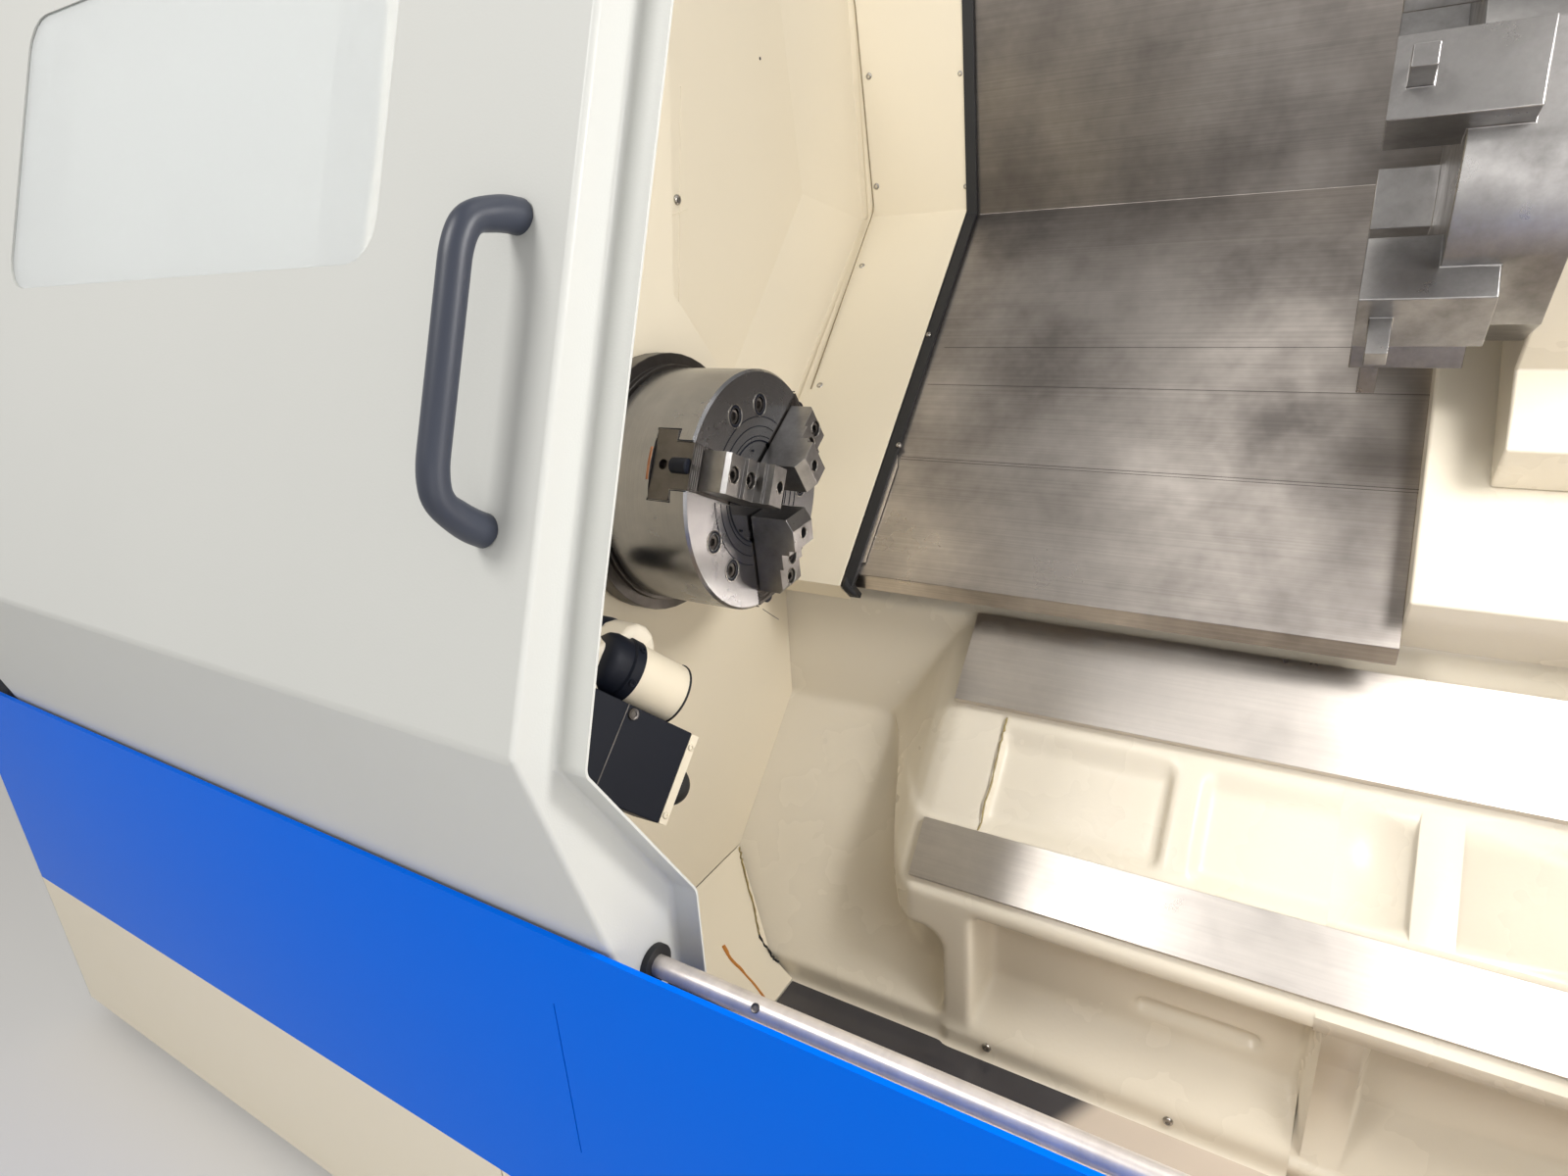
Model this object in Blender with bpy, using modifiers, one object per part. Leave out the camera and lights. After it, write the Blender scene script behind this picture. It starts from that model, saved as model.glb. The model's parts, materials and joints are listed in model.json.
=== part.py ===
"""Slant-bed turning lathe with a fifteen-inch power chuck, modelled in Blender.

Metres, +Z up, X along the spindle, the operator stands on the -Y side.
Most places are given from the centre of the chuck face and moved to the
machine's own frame, whose origin is on the floor under the middle of its box.
"""
from math import atan, cos, pi, radians, sin, sqrt, tan

import bmesh
import bpy
from mathutils import Matrix, Vector

# Where the centre of the chuck face lies above the floor and beside the middle
CHUCK_FACE_X = -0.400
SPINDLE_Y = -0.250
SPINDLE_HEIGHT = 1.200
GAP = 0.0003

# The enclosure, from the chuck face
LEFT = -1.500
RIGHT = 2.300
FRONT = -0.800
REAR = 1.300
BACK_WALL = 1.120
TOP = 0.950
FLOOR = -SPINDLE_HEIGHT
SHEET = 0.003

# The slanted bed: s runs up the slope, h is the depth under the spindle's plane
SLANT = radians(45.0)
COVER_H = 0.400
WAY_H = 0.500
CHUTE_H = 0.700
FOLD_S = 0.977
LIP_S = 0.053
COVER_TOP = 0.930
COVER_LEAN = 0.101

# Bed casting
BED_LEFT = -1.250
BED_RIGHT = 2.100
BED_BACK = 1.080
BED_FRONT = 0.025
PLATE_FRONT = -0.450
BED_BOTTOM = FLOOR + 0.080
PAN_Z = -1.010
CHUTE_BACK = 0.405
CHUTE_LINE = ((-0.2085, -0.8354), (-0.012, -1.0058))

# Tailstock ways and the beam under the lower one
UPPER_WAY_S = (-0.126, 0.051)
LOWER_WAY_S = (-0.455, -0.351)
UPPER_WAY_T = 0.020
LOWER_WAY_T = 0.012
UPPER_WAY_X = 0.231
LOWER_WAY_X = 0.237
WAY_RIGHT = 2.050
BEAM_FACE = 0.074
RIB_X = 0.303
RIB_W = 0.050
POCKET_W = 0.520
POCKET_DEPTH = 0.075
BAY_TOP = -0.722
DRAIN_Z = -0.852

# Saddle ways
SADDLE_WAY_S = ((0.120, 0.260), (0.780, 0.920))
VALLEY_H = 0.600

# Headstock
WALL_X = -0.210
WALL_T = 0.006
HEAD_LEFT = -1.150
HEAD_RIGHT = -0.335
HEAD_HALF = 0.300
HEAD_BORE = 0.190
HOUSING_R = 0.175
NOSE_R = 0.140
SPINDLE_R = 0.080
ADAPTER_R = 0.214
ADAPTER_T = 0.045

# Chuck and jaws
CHUCK_R = 0.1905
CHUCK_L = 0.158
JAW_ANGLES = (35.0, 155.0, 275.0)
SLOT_STEM_W = 0.070
SLOT_HEAD_W = 0.104
SLOT_STEM_D = 0.030
SLOT_HEAD_D = 0.068
JAW_STROKE = 0.0053
TOP_JAW_W = 0.060
CENTRE_R = 0.080

# Door
DOOR_RIGHT = 0.182
DOOR_WIDTH = 1.462
DOOR_LEAN = 0.374
DOOR_FOLD = (-0.708, -0.060)
DOOR_BOTTOM = (-0.596, -0.450)
DOOR_RIDGE = (-0.660, -0.090)
DOOR_LEAN_ANGLE = atan(DOOR_LEAN)
DOOR_TOP = 0.860
DOOR_SHEET = 0.003
FLANGE_W = 0.040
PILLAR_W = 0.056
RAIL_R = 0.0125
RAIL_Y = -0.566
RAIL_Z = -0.403
WINDOW_RIGHT = -0.090
WINDOW_W = 0.860
WINDOW_LOW = 0.370
WINDOW_HIGH = 0.740
WINDOW_CORNER = 0.045
HANDLE_X = 0.118
HANDLE_Z = (0.130, 0.399)
HANDLE_R = 0.0145
HANDLE_OUT = 0.068

# Front panels under the door
PANEL_Y = -0.640
PANEL_TOP = -0.340
PANEL_LOW = -0.818
SKIRT_LOW = FLOOR + 0.050
SKIRT_SEAM = -0.084
SLIT_X = 0.091
OPENING_RIGHT = 1.150
COVER_LEFT_END = -0.300
ROOF_LEFT = -0.345
ROOF_RIGHT = 1.520
SILL_Z = -0.470

BUTTON_R = 0.010

# Tool setter
SETTER_PIVOT = (-0.125, -0.250, -0.193)

# Carriage, turret and tailstock, parked at the right
SADDLE_X = (0.900, 1.400)
TURRET_S = 0.600
TURRET_R = 0.240
TURRET_SIDES = 12
TAIL_X = (1.420, 1.840)
TAIL_TOP_S = 0.087
QUILL_R = 0.060
CENTRE_TIP = 1.160

ORIGIN = Vector((CHUCK_FACE_X, SPINDLE_Y, SPINDLE_HEIGHT))


def slope(s, h):
    """The (y, z) of a point s up the slope and h under the spindle's plane."""
    return (s * cos(SLANT) + h * sin(SLANT), s * sin(SLANT) - h * cos(SLANT))


def door_y(z):
    """The y of the door's outer skin at height z."""
    if z >= DOOR_FOLD[1]:
        return DOOR_FOLD[0] + DOOR_LEAN * (z - DOOR_FOLD[1])
    lean = (DOOR_BOTTOM[0] - DOOR_FOLD[0]) / (DOOR_BOTTOM[1] - DOOR_FOLD[1])
    return DOOR_FOLD[0] + lean * (z - DOOR_FOLD[1])


# Collections, materials and the general modelling steps


def start():
    """Clear the scene and make the part's collection and the cutters' one."""
    for item in list(bpy.data.objects):
        bpy.data.objects.remove(item)
    for name in ("turning_lathe", "cutters"):
        collection = bpy.data.collections.new(name)
        bpy.context.scene.collection.children.link(collection)


def material(name, colour, roughness, metallic=0.0, alpha=1.0):
    """A Principled material, made once and shared."""
    made = bpy.data.materials.get(name)
    if made is None:
        made = bpy.data.materials.new(name)
        made.use_nodes = True
        shader = made.node_tree.nodes["Principled BSDF"]
        shader.inputs["Base Color"].default_value = (*colour, 1.0)
        shader.inputs["Roughness"].default_value = roughness
        shader.inputs["Metallic"].default_value = metallic
        shader.inputs["Alpha"].default_value = alpha
    return made


def cream():
    return material("cream_paint", (0.62, 0.56, 0.45), 0.45)


def white():
    return material("off_white_paint", (0.66, 0.65, 0.62), 0.5)


def blue():
    return material("blue_paint", (0.0, 0.14, 0.73), 0.25)


def steel():
    return material("ground_steel", (0.42, 0.41, 0.40), 0.3, 1.0)


def dark_steel():
    return material("blackened_steel", (0.12, 0.12, 0.12), 0.4, 1.0)


def black():
    return material("black_anodised", (0.02, 0.022, 0.03), 0.4)


def put(item, collection="turning_lathe"):
    """Link an object to one collection only."""
    for owner in list(item.users_collection):
        owner.objects.unlink(item)
    bpy.data.collections[collection].objects.link(item)
    return item


def finish(item, paint, smooth=False):
    """Give an object its material and its shading."""
    item.data.materials.clear()
    item.data.materials.append(paint)
    if smooth:
        item.data.shade_smooth()
        item.data.set_sharp_from_angle(angle=radians(35.0))
    return item


def mesh_object(name, work):
    """A new object at the chuck face's frame from a bmesh, which is freed."""
    mesh = bpy.data.meshes.new(name)
    work.to_mesh(mesh)
    work.free()
    item = put(bpy.data.objects.new(name, mesh))
    item.location = ORIGIN
    return item


AXIS_TURN = {
    "X": Matrix(((0, 0, 1), (1, 0, 0), (0, 1, 0))),
    "Y": Matrix(((1, 0, 0), (0, 0, -1), (0, 1, 0))),
    "Z": Matrix.Identity(3),
}


def curve_to_mesh(item):
    """Turn a filled curve object into a welded mesh object of the same name."""
    bpy.context.view_layer.update()
    seen = item.evaluated_get(bpy.context.evaluated_depsgraph_get())
    mesh = bpy.data.meshes.new_from_object(seen)
    work = bmesh.new()
    work.from_mesh(mesh)
    bmesh.ops.remove_doubles(work, verts=work.verts, dist=0.00001)
    bmesh.ops.dissolve_limit(work, angle_limit=radians(0.05), verts=work.verts, edges=work.edges)
    bmesh.ops.triangulate(work, faces=work.faces)
    work.to_mesh(mesh)
    work.free()
    name = item.name
    place = item.matrix_world.copy()
    old = item.data
    bpy.data.objects.remove(item)
    bpy.data.curves.remove(old)
    made = put(bpy.data.objects.new(name, mesh))
    mesh.name = name
    made.matrix_world = place
    return made


def plate(name, outline, low, high, axis="X", holes=()):
    """A flat outline, square to axis, from low to high along that axis."""
    curve = bpy.data.curves.new(name, "CURVE")
    curve.dimensions = "2D"
    curve.fill_mode = "BOTH"
    curve.extrude = (high - low) / 2.0
    for ring in (outline, *holes):
        spline = curve.splines.new("POLY")
        spline.points.add(len(ring) - 1)
        for point, (across, up) in zip(spline.points, ring):
            point.co = (across, up, 0.0, 1.0)
        spline.use_cyclic_u = True
    item = put(bpy.data.objects.new(name, curve))
    turn = AXIS_TURN[axis]
    middle = turn @ Vector((0.0, 0.0, (low + high) / 2.0))
    if axis == "Y":
        middle = -middle
    item.matrix_world = Matrix.Translation(ORIGIN + middle) @ turn.to_4x4()
    return curve_to_mesh(item)


def box(name, low, high):
    """A block between two corners."""
    size = Vector(high) - Vector(low)
    work = bmesh.new()
    bmesh.ops.create_cube(work, size=1.0)
    bmesh.ops.scale(work, vec=size, verts=work.verts)
    bmesh.ops.translate(work, vec=(Vector(high) + Vector(low)) / 2.0, verts=work.verts)
    return mesh_object(name, work)


def turned(name, profile, centre=(0.0, 0.0, 0.0), along="X", steps=48, ring=False):
    """A profile of (radius, length) turned round an axis through centre.

    The profile runs down the outer side from its high end, and a ring's
    profile goes on up the bore and closes.
    """
    work = bmesh.new()
    made = [work.verts.new((radius, 0.0, length)) for radius, length in profile]
    pairs = list(zip(made, made[1:]))
    if ring:
        pairs.append((made[-1], made[0]))
    for pair in pairs:
        work.edges.new(pair)
    item = mesh_object(name, work)
    item.location = ORIGIN + Vector(centre)
    turns = {"X": (0.0, pi / 2.0, 0.0), "Y": (-pi / 2.0, 0.0, 0.0), "Z": (0.0, 0.0, 0.0)}
    item.rotation_euler = turns[along]
    screw = item.modifiers.new("turn", "SCREW")
    screw.axis = "Z"
    screw.steps = steps
    screw.render_steps = steps
    screw.use_merge_vertices = True
    screw.merge_threshold = 0.00001
    return item


def rod(name, radius, low, high, centre=(0.0, 0.0, 0.0), along="X", steps=32):
    """A plain round bar from low to high along its axis."""
    profile = [(0.0, high), (radius, high), (radius, low), (0.0, low)]
    return turned(name, profile, centre, along, steps)


def bush(name, outer, inner, low, high, centre=(0.0, 0.0, 0.0), along="X", steps=32):
    """A plain round bush from low to high along its axis."""
    profile = [(inner, high), (outer, high), (outer, low), (inner, low)]
    return turned(name, profile, centre, along, steps, ring=True)


def folded_sheet(name, profile, low, high, thickness=SHEET, side=1.0):
    """A sheet folded to a (y, z) profile and running along X."""
    work = bmesh.new()
    row = [work.verts.new((low, y, z)) for y, z in profile]
    edges = [work.edges.new(pair) for pair in zip(row, row[1:])]
    grown = bmesh.ops.extrude_edge_only(work, edges=edges)["geom"]
    moved = [part for part in grown if isinstance(part, bmesh.types.BMVert)]
    bmesh.ops.translate(work, vec=(high - low, 0.0, 0.0), verts=moved)
    item = mesh_object(name, work)
    thicken(item, thickness, side)
    return item


def thicken(item, thickness, side=1.0):
    """Give an open surface its wall."""
    wall = item.modifiers.new("wall", "SOLIDIFY")
    wall.thickness = thickness
    wall.offset = side
    wall.use_even_offset = True


def combine(item, other, operation):
    """Cut, or join, one object with another, which becomes a guide."""
    other.hide_render = True
    other.display_type = "WIRE"
    put(other, "cutters")
    step = item.modifiers.new(operation.lower(), "BOOLEAN")
    step.operation = operation
    step.object = other
    step.solver = "EXACT"


def cut(item, other):
    combine(item, other, "DIFFERENCE")


def join(item, other):
    combine(item, other, "UNION")


def axis_empty(name, place):
    """An empty on a joint's axis, which carries the pieces that move with it."""
    item = bpy.data.objects.new(name, None)
    put(item)
    item.location = ORIGIN + Vector(place)
    item.empty_display_size = 0.1
    return item


def carry(carrier, *items):
    """Parent pieces to an empty and leave them where they are."""
    for item in items:
        item.parent = carrier
        item.matrix_parent_inverse = Matrix.Translation(carrier.location).inverted()


def move(item, change):
    """Apply a change of place, given in the chuck face's frame, to an object."""
    item.matrix_basis = Matrix.Translation(ORIGIN) @ change @ Matrix.Translation(-ORIGIN) \
        @ item.matrix_basis
    return item


def loft(name, rings):
    """A closed body over rings of points, with a flat cap on each end."""
    work = bmesh.new()
    made = [[work.verts.new(spot) for spot in ring] for ring in rings]
    for low, high in zip(made, made[1:]):
        for index in range(len(low)):
            after = (index + 1) % len(low)
            work.faces.new((low[index], low[after], high[after], high[index]))
    work.faces.new(made[0])
    work.faces.new(made[-1])
    bmesh.ops.recalc_face_normals(work, faces=work.faces)
    return mesh_object(name, work)


def arc(centre, radius, start_deg, end_deg, count):
    """Points of an arc in the drawing plane."""
    points = []
    for step in range(count + 1):
        angle = radians(start_deg + (end_deg - start_deg) * step / count)
        points.append((centre[0] + radius * cos(angle), centre[1] + radius * sin(angle)))
    return points


def rounded(low, high, radius, count=4):
    """A rectangle with round corners, as an outline."""
    (x0, y0), (x1, y1) = low, high
    points = arc((x1 - radius, y1 - radius), radius, 0.0, 90.0, count)
    points += arc((x0 + radius, y1 - radius), radius, 90.0, 180.0, count)
    points += arc((x0 + radius, y0 + radius), radius, 180.0, 270.0, count)
    points += arc((x1 - radius, y0 + radius), radius, 270.0, 360.0, count)
    return points


# Bed: one grey iron casting, with the chip chute at its left end


def bed_seat(s, depth):
    """A point of the bed's face under a way."""
    return slope(s, WAY_H + depth)


def apron_outline(low, beam_low):
    """The apron under the beam, its left end filleted to the beam and the chute."""
    fillet = 0.040
    centre = RIB_X - fillet
    above = arc((centre, beam_low - fillet), fillet, 72.0, 0.0, 4)
    below = arc((centre, low + fillet), fillet, 0.0, -70.0, 3)
    high = beam_low + 0.020
    return [(WAY_RIGHT, low), (WAY_RIGHT, high), (above[0][0], high), *above, *below, (below[-1][0], low)]


def bed_bay(left, right, top):
    """The drafted hollow of one bay in the apron, with its drain slot."""
    face = BED_FRONT - CHUTE_H * sqrt(2.0) + 0.001
    draft = 0.018
    rings = []
    for y, inset in ((BED_FRONT - 0.005, -0.001), (BED_FRONT + POCKET_DEPTH, draft)):
        floor = face + y - BED_FRONT
        roof = top - inset
        rings.append([(left + inset, y, floor), (right - inset, y, floor),
                      (right - inset, y, roof), (left + inset, y, roof)])
    middle = (left + right) / 2.0
    slot = rounded((middle, DRAIN_Z - 0.013), (middle + 0.190, DRAIN_Z + 0.013), 0.0125)
    depth = BED_FRONT + POCKET_DEPTH
    return loft("bed_bay", rings), plate("drain_slot", slot, depth - 0.001, depth + 0.018, "Y")


def bed_casting():
    """The body, the beam with its ribs and pockets, and the chute's flank."""
    step = UPPER_WAY_T
    (low0, low1), (high0, high1) = SADDLE_WAY_S
    corner = CHUTE_H * sqrt(2.0)
    body = [
        (PLATE_FRONT, BED_BOTTOM),
        (PLATE_FRONT, PAN_Z - SHEET - GAP),
        (BED_FRONT, PAN_Z - SHEET - GAP),
        (BED_FRONT, BED_FRONT - corner),
        (CHUTE_BACK, CHUTE_BACK - corner),
        (CHUTE_BACK, CHUTE_BACK - (WAY_H + step) * sqrt(2.0)),
        slope(low0, WAY_H + step),
        slope(low0, WAY_H),
        slope(low1, WAY_H),
        slope(low1, VALLEY_H),
        slope(high0, VALLEY_H),
        slope(high0, WAY_H),
        slope(high1, WAY_H),
        slope(high1, WAY_H + step),
        slope(high1 + 0.08, WAY_H + step),
        (BED_BACK, slope(high1 + 0.08, WAY_H + step)[1]),
        (BED_BACK, BED_BOTTOM),
    ]
    bed = plate("bed_casting", body, BED_LEFT, BED_RIGHT)
    beam_top = BED_FRONT - (WAY_H + LOWER_WAY_T) * sqrt(2.0)
    web = WAY_H + 0.020
    inner = CHUTE_BACK + 0.030
    block = [
        (BED_FRONT, beam_top - BEAM_FACE),
        (BED_FRONT, beam_top),
        bed_seat(LOWER_WAY_S[1] + 0.004, LOWER_WAY_T),
        slope(LOWER_WAY_S[1] + 0.006, web),
        slope(UPPER_WAY_S[0] - 0.006, web),
        bed_seat(UPPER_WAY_S[0] - 0.004, UPPER_WAY_T),
        bed_seat(UPPER_WAY_S[1] + 0.004, UPPER_WAY_T),
        (inner, inner - (WAY_H + UPPER_WAY_T + 0.004) * sqrt(2.0)),
        (inner, inner - corner - 0.030),
        (BED_FRONT + POCKET_DEPTH + 0.060, BED_FRONT + POCKET_DEPTH + 0.060 - corner - 0.030),
        (BED_FRONT + POCKET_DEPTH, BED_FRONT + POCKET_DEPTH - corner - 0.010),
        (BED_FRONT + POCKET_DEPTH, beam_top - BEAM_FACE),
    ]
    join(bed, plate("bed_beam", block, LOWER_WAY_X + 0.0005, WAY_RIGHT + 0.004))
    join(bed, chute_flank(block))
    apron = apron_outline(BED_FRONT - corner - 0.006, beam_top - BEAM_FACE)
    join(bed, plate("bed_apron", apron, BED_FRONT + 0.0001, BED_FRONT + POCKET_DEPTH + 0.030, "Y"))
    left = RIB_X + RIB_W
    while left < WAY_RIGHT:
        for hollow in bed_bay(left, left + POCKET_W, BAY_TOP):
            cut(bed, hollow)
        left += RIB_W + POCKET_W
    for count in range(5):
        pocket = [slope(-0.342, web - 0.003), slope(-0.318, web + 0.018)]
        pocket += [slope(-0.185, web + 0.018), slope(-0.145, web - 0.003)]
        start_x = 0.333 + 0.340 * count
        cut(bed, plate("bed_web_pocket", pocket, start_x, start_x + 0.287))
    join(bed, box("bed_flange", (RIB_X + 0.008, BED_FRONT - 0.006, PAN_Z + 0.006),
                  (WAY_RIGHT, BED_FRONT + 0.002, PAN_Z + 0.038)))
    return finish(bed, cream())


def chute_flank(block):
    """The flank that runs from the ways' left end down into the chute."""
    edge = LOWER_WAY_X + 0.004
    corner_y = CHUTE_BACK + 0.015
    corner_z = CHUTE_BACK - CHUTE_H * sqrt(2.0) - 0.015 + 0.030
    steps = 8
    rings = []
    for step in range(steps + 1):
        along = step / steps
        share = 1.0 - 0.98 * along * along * (3.0 - 2.0 * along)
        x = edge + (0.020 - edge) * along
        rings.append([(x, corner_y + share * (y - corner_y), corner_z + share * (z - corner_z))
                      for y, z in block])
    return loft("chute_flank", rings)


def tailstock_way(name, span, thickness, left):
    """A hardened steel way strip, seated on its land of the bed."""
    outline = [
        slope(span[0], WAY_H + thickness - GAP),
        slope(span[0], WAY_H),
        slope(span[1], WAY_H),
        slope(span[1], WAY_H + thickness - GAP),
    ]
    return finish(plate(name, outline, left, WAY_RIGHT), steel())


def headstock_casting():
    """The headstock casting, bored through, on its pedestal that the wall fits."""
    corner = CHUTE_H * sqrt(2.0)
    pedestal = [
        (-0.330, PAN_Z - SHEET),
        (-0.330, -HEAD_HALF + 0.010),
        (0.220, -HEAD_HALF + 0.010),
        (0.220, -HEAD_HALF - 0.010),
        (CHUTE_BACK - GAP, -HEAD_HALF - 0.010),
        (CHUTE_BACK - GAP, CHUTE_BACK - corner),
        (BED_FRONT - GAP, BED_FRONT - corner),
        (BED_FRONT - GAP, PAN_Z - SHEET),
    ]
    half = HEAD_HALF
    outline = [
        (-half, -half),
        (0.230, -half),
        (0.270, -0.270),
        (half, 0.0),
        (half, 0.200),
        (0.200, half),
        (-0.200, half),
        (-half, 0.200),
    ]
    bore = arc((0.0, 0.0), HEAD_BORE, 0.0, 360.0, 40)[:-1]
    item = plate("headstock_casting", outline, HEAD_LEFT, HEAD_RIGHT, "X", [bore])
    join(item, plate("pedestal", pedestal, HEAD_LEFT + 0.0001, HEAD_RIGHT - 0.0001))
    low = [(y, z) if z < -HEAD_HALF - 0.001 else (y, -HEAD_HALF - 0.012) for y, z in pedestal]
    foot = plate("pedestal_foot", [low[0], low[1], low[4], *low[5:]], HEAD_LEFT + 0.0002,
                 WALL_X - WALL_T - GAP)
    join(item, foot)
    return finish(item, cream())


def levelling_foot(name, x, y):
    """A levelling screw on its pad."""
    profile = [
        (0.0, BED_BOTTOM - GAP),
        (0.022, BED_BOTTOM - GAP),
        (0.022, FLOOR + 0.035),
        (0.075, FLOOR + 0.026),
        (0.075, FLOOR),
        (0.0, FLOOR),
    ]
    return finish(turned(name, profile, (x, y, 0.0), "Z", 20), dark_steel(), True)


# Spindle, its bearings and its built-in motor


def spindle_line():
    """Everything that turns with the chuck, and what holds it."""
    reach = HEAD_RIGHT + GAP
    flange = HEAD_BORE + 0.025
    housing = [
        (SPINDLE_R + 0.045, WALL_X),
        (HOUSING_R, WALL_X),
        (HOUSING_R, reach + 0.020),
        (flange, reach + 0.020),
        (flange, reach),
        (HEAD_BORE - GAP, reach),
        (HEAD_BORE - GAP, reach - 0.180),
        (HOUSING_R - 0.012, reach - 0.180),
        (HOUSING_R - 0.012, reach - 0.010),
        (SPINDLE_R + 0.045, reach - 0.010),
    ]
    finish(turned("spindle_housing", housing, steps=40, ring=True), cream(), True)
    front = (reach - 0.150, reach - 0.010 - GAP)
    finish(bush("spindle_bearing_front", HOUSING_R - 0.012 - GAP, SPINDLE_R + GAP, *front,
                steps=40), steel(), True)
    rear = (HEAD_LEFT, HEAD_LEFT + 0.090)
    finish(bush("spindle_bearing_rear", HEAD_BORE - GAP, SPINDLE_R + GAP, *rear,
                steps=40), steel(), True)
    motor = (HEAD_LEFT + 0.160, HEAD_RIGHT - 0.220)
    finish(bush("motor_stator", HEAD_BORE - GAP, 0.140, *motor, steps=40), dark_steel(), True)
    finish(bush("motor_rotor", 0.137, SPINDLE_R + GAP, motor[0] + 0.02, motor[1] - 0.02,
                steps=40), dark_steel(), True)
    nose = -CHUCK_L - ADAPTER_T - 2.0 * GAP
    shaft = [
        (0.0, nose),
        (NOSE_R, nose),
        (NOSE_R, nose - 0.004),
        (SPINDLE_R + 0.010, nose - 0.004),
        (SPINDLE_R + 0.010, reach - 0.0095),
        (SPINDLE_R, reach - 0.0095),
        (SPINDLE_R, HEAD_LEFT - 0.050),
        (0.0, HEAD_LEFT - 0.050),
    ]
    finish(turned("spindle", shaft, steps=40), steel(), True)
    ring = [
        (0.0, -CHUCK_L - GAP),
        (ADAPTER_R - 0.018, -CHUCK_L - GAP),
        (ADAPTER_R - 0.018, -CHUCK_L - 0.010),
        (ADAPTER_R, -CHUCK_L - 0.010),
        (ADAPTER_R, -CHUCK_L - ADAPTER_T + 0.004),
        (ADAPTER_R - 0.004, nose + GAP),
        (0.0, nose + GAP),
    ]
    finish(turned("chuck_adapter", ring, steps=48), dark_steel(), True)
    end = HEAD_LEFT - 0.050 - GAP
    cylinder = [
        (0.0, end),
        (0.110, end),
        (0.110, end - 0.090),
        (0.075, end - 0.100),
        (0.075, end - 0.160),
        (0.0, end - 0.160),
    ]
    finish(turned("chuck_cylinder", cylinder, steps=32), steel(), True)


# Chuck: body with three T-slots, sliding master jaws and stepped top jaws


def to_jaw(item, angle_deg):
    """Turn a piece drawn on the 0 degree jaw to its place round the spindle."""
    return move(item, Matrix.Rotation(radians(angle_deg), 4, "X"))


def chuck_body():
    """The chuck body, turned, then slotted for the jaws and counterbored."""
    edge = 0.004
    profile = [
        (0.0, -0.002),
        (CENTRE_R, -0.002),
        (CENTRE_R, 0.0),
        (CHUCK_R - edge, 0.0),
        (CHUCK_R, -edge),
        (CHUCK_R, -CHUCK_L + edge),
        (CHUCK_R - edge, -CHUCK_L),
        (0.0, -CHUCK_L),
    ]
    body = turned("chuck_body", profile, steps=72)
    inner = 0.068
    outer = CHUCK_R + 0.010
    stem = SLOT_STEM_W / 2.0
    head = SLOT_HEAD_W / 2.0
    tee = [(0.010, -stem), (0.010, stem), (-SLOT_STEM_D, stem), (-SLOT_STEM_D, head),
           (-SLOT_HEAD_D, head), (-SLOT_HEAD_D, -head), (-SLOT_STEM_D, -head), (-SLOT_STEM_D, -stem)]
    for angle in JAW_ANGLES:
        cut(body, to_jaw(plate("jaw_slot", tee, inner, outer, "Y"), angle))
    for angle in JAW_ANGLES:
        for side in (45.0, 75.0):
            hole = rod("bolt_hole", 0.0125, -0.014, 0.011, (0.0, 0.136, 0.0), steps=14)
            cut(body, to_jaw(hole, angle + side))
    return finish(body, steel(), True)


def master_jaw(name, angle_deg):
    """A sliding jaw with a T foot and a serrated face."""
    fit = 2.0 * GAP
    inner = 0.068 + JAW_STROKE + 0.002
    outer = CHUCK_R - 0.005
    teeth = []
    pitch = 0.0055
    start_y = outer - 0.004
    for count in range(6):
        top = start_y - count * pitch
        teeth += [(0.0015, top), (0.0015, top - 0.0035), (0.0, top - 0.0035), (0.0, top - pitch)]
    outline = [(-SLOT_STEM_D - 0.010, outer), (0.0015, outer)] + teeth
    outline += [(0.0, inner), (-SLOT_STEM_D - 0.010, inner)]
    half = SLOT_STEM_W / 2.0 - fit
    jaw = plate(name, outline, -half, half, "Z")
    foot = box("jaw_foot", (-SLOT_HEAD_D + fit, inner, -SLOT_HEAD_W / 2.0 + fit),
               (-SLOT_STEM_D - fit, outer, SLOT_HEAD_W / 2.0 - fit))
    join(jaw, foot)
    socket = rod("jaw_socket", 0.0075, outer - 0.012, outer + 0.010,
                 (-0.049, 0.0, 0.0), "Y", 16)
    cut(jaw, socket)
    for item in (jaw, foot, socket):
        to_jaw(item, angle_deg)
    return finish(jaw, steel())


def top_jaw(name, angle_deg):
    """A hard top jaw: a low outer step, and a high inner one with a hole."""
    base = 0.0015 + GAP
    outer = 0.161
    outline = [
        (base, outer),
        (0.040, outer),
        (0.046, outer - 0.007),
        (0.046, 0.118),
        (0.052, 0.118),
        (0.052, 0.092),
        (0.066, 0.092),
        (0.066, 0.084),
        (0.077, 0.084),
        (0.077, 0.050),
        (0.066, 0.031),
        (base, 0.031),
    ]
    half = TOP_JAW_W / 2.0
    jaw = plate(name, outline, -half, half, "Z")
    holes = [
        rod("bolt_seat", 0.0125, 0.026, 0.090, (0.0, 0.141, 0.0), steps=16),
        rod("bolt_seat", 0.0125, 0.030, 0.090, (0.0, 0.105, 0.0), steps=16),
        rod("jaw_hole", 0.0090, 0.040, 0.090, (0.0, 0.062, 0.0), steps=16),
    ]
    for hole in holes:
        cut(jaw, to_jaw(hole, angle_deg))
    return finish(to_jaw(jaw, angle_deg), steel())


# Covers inside the work area


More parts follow.
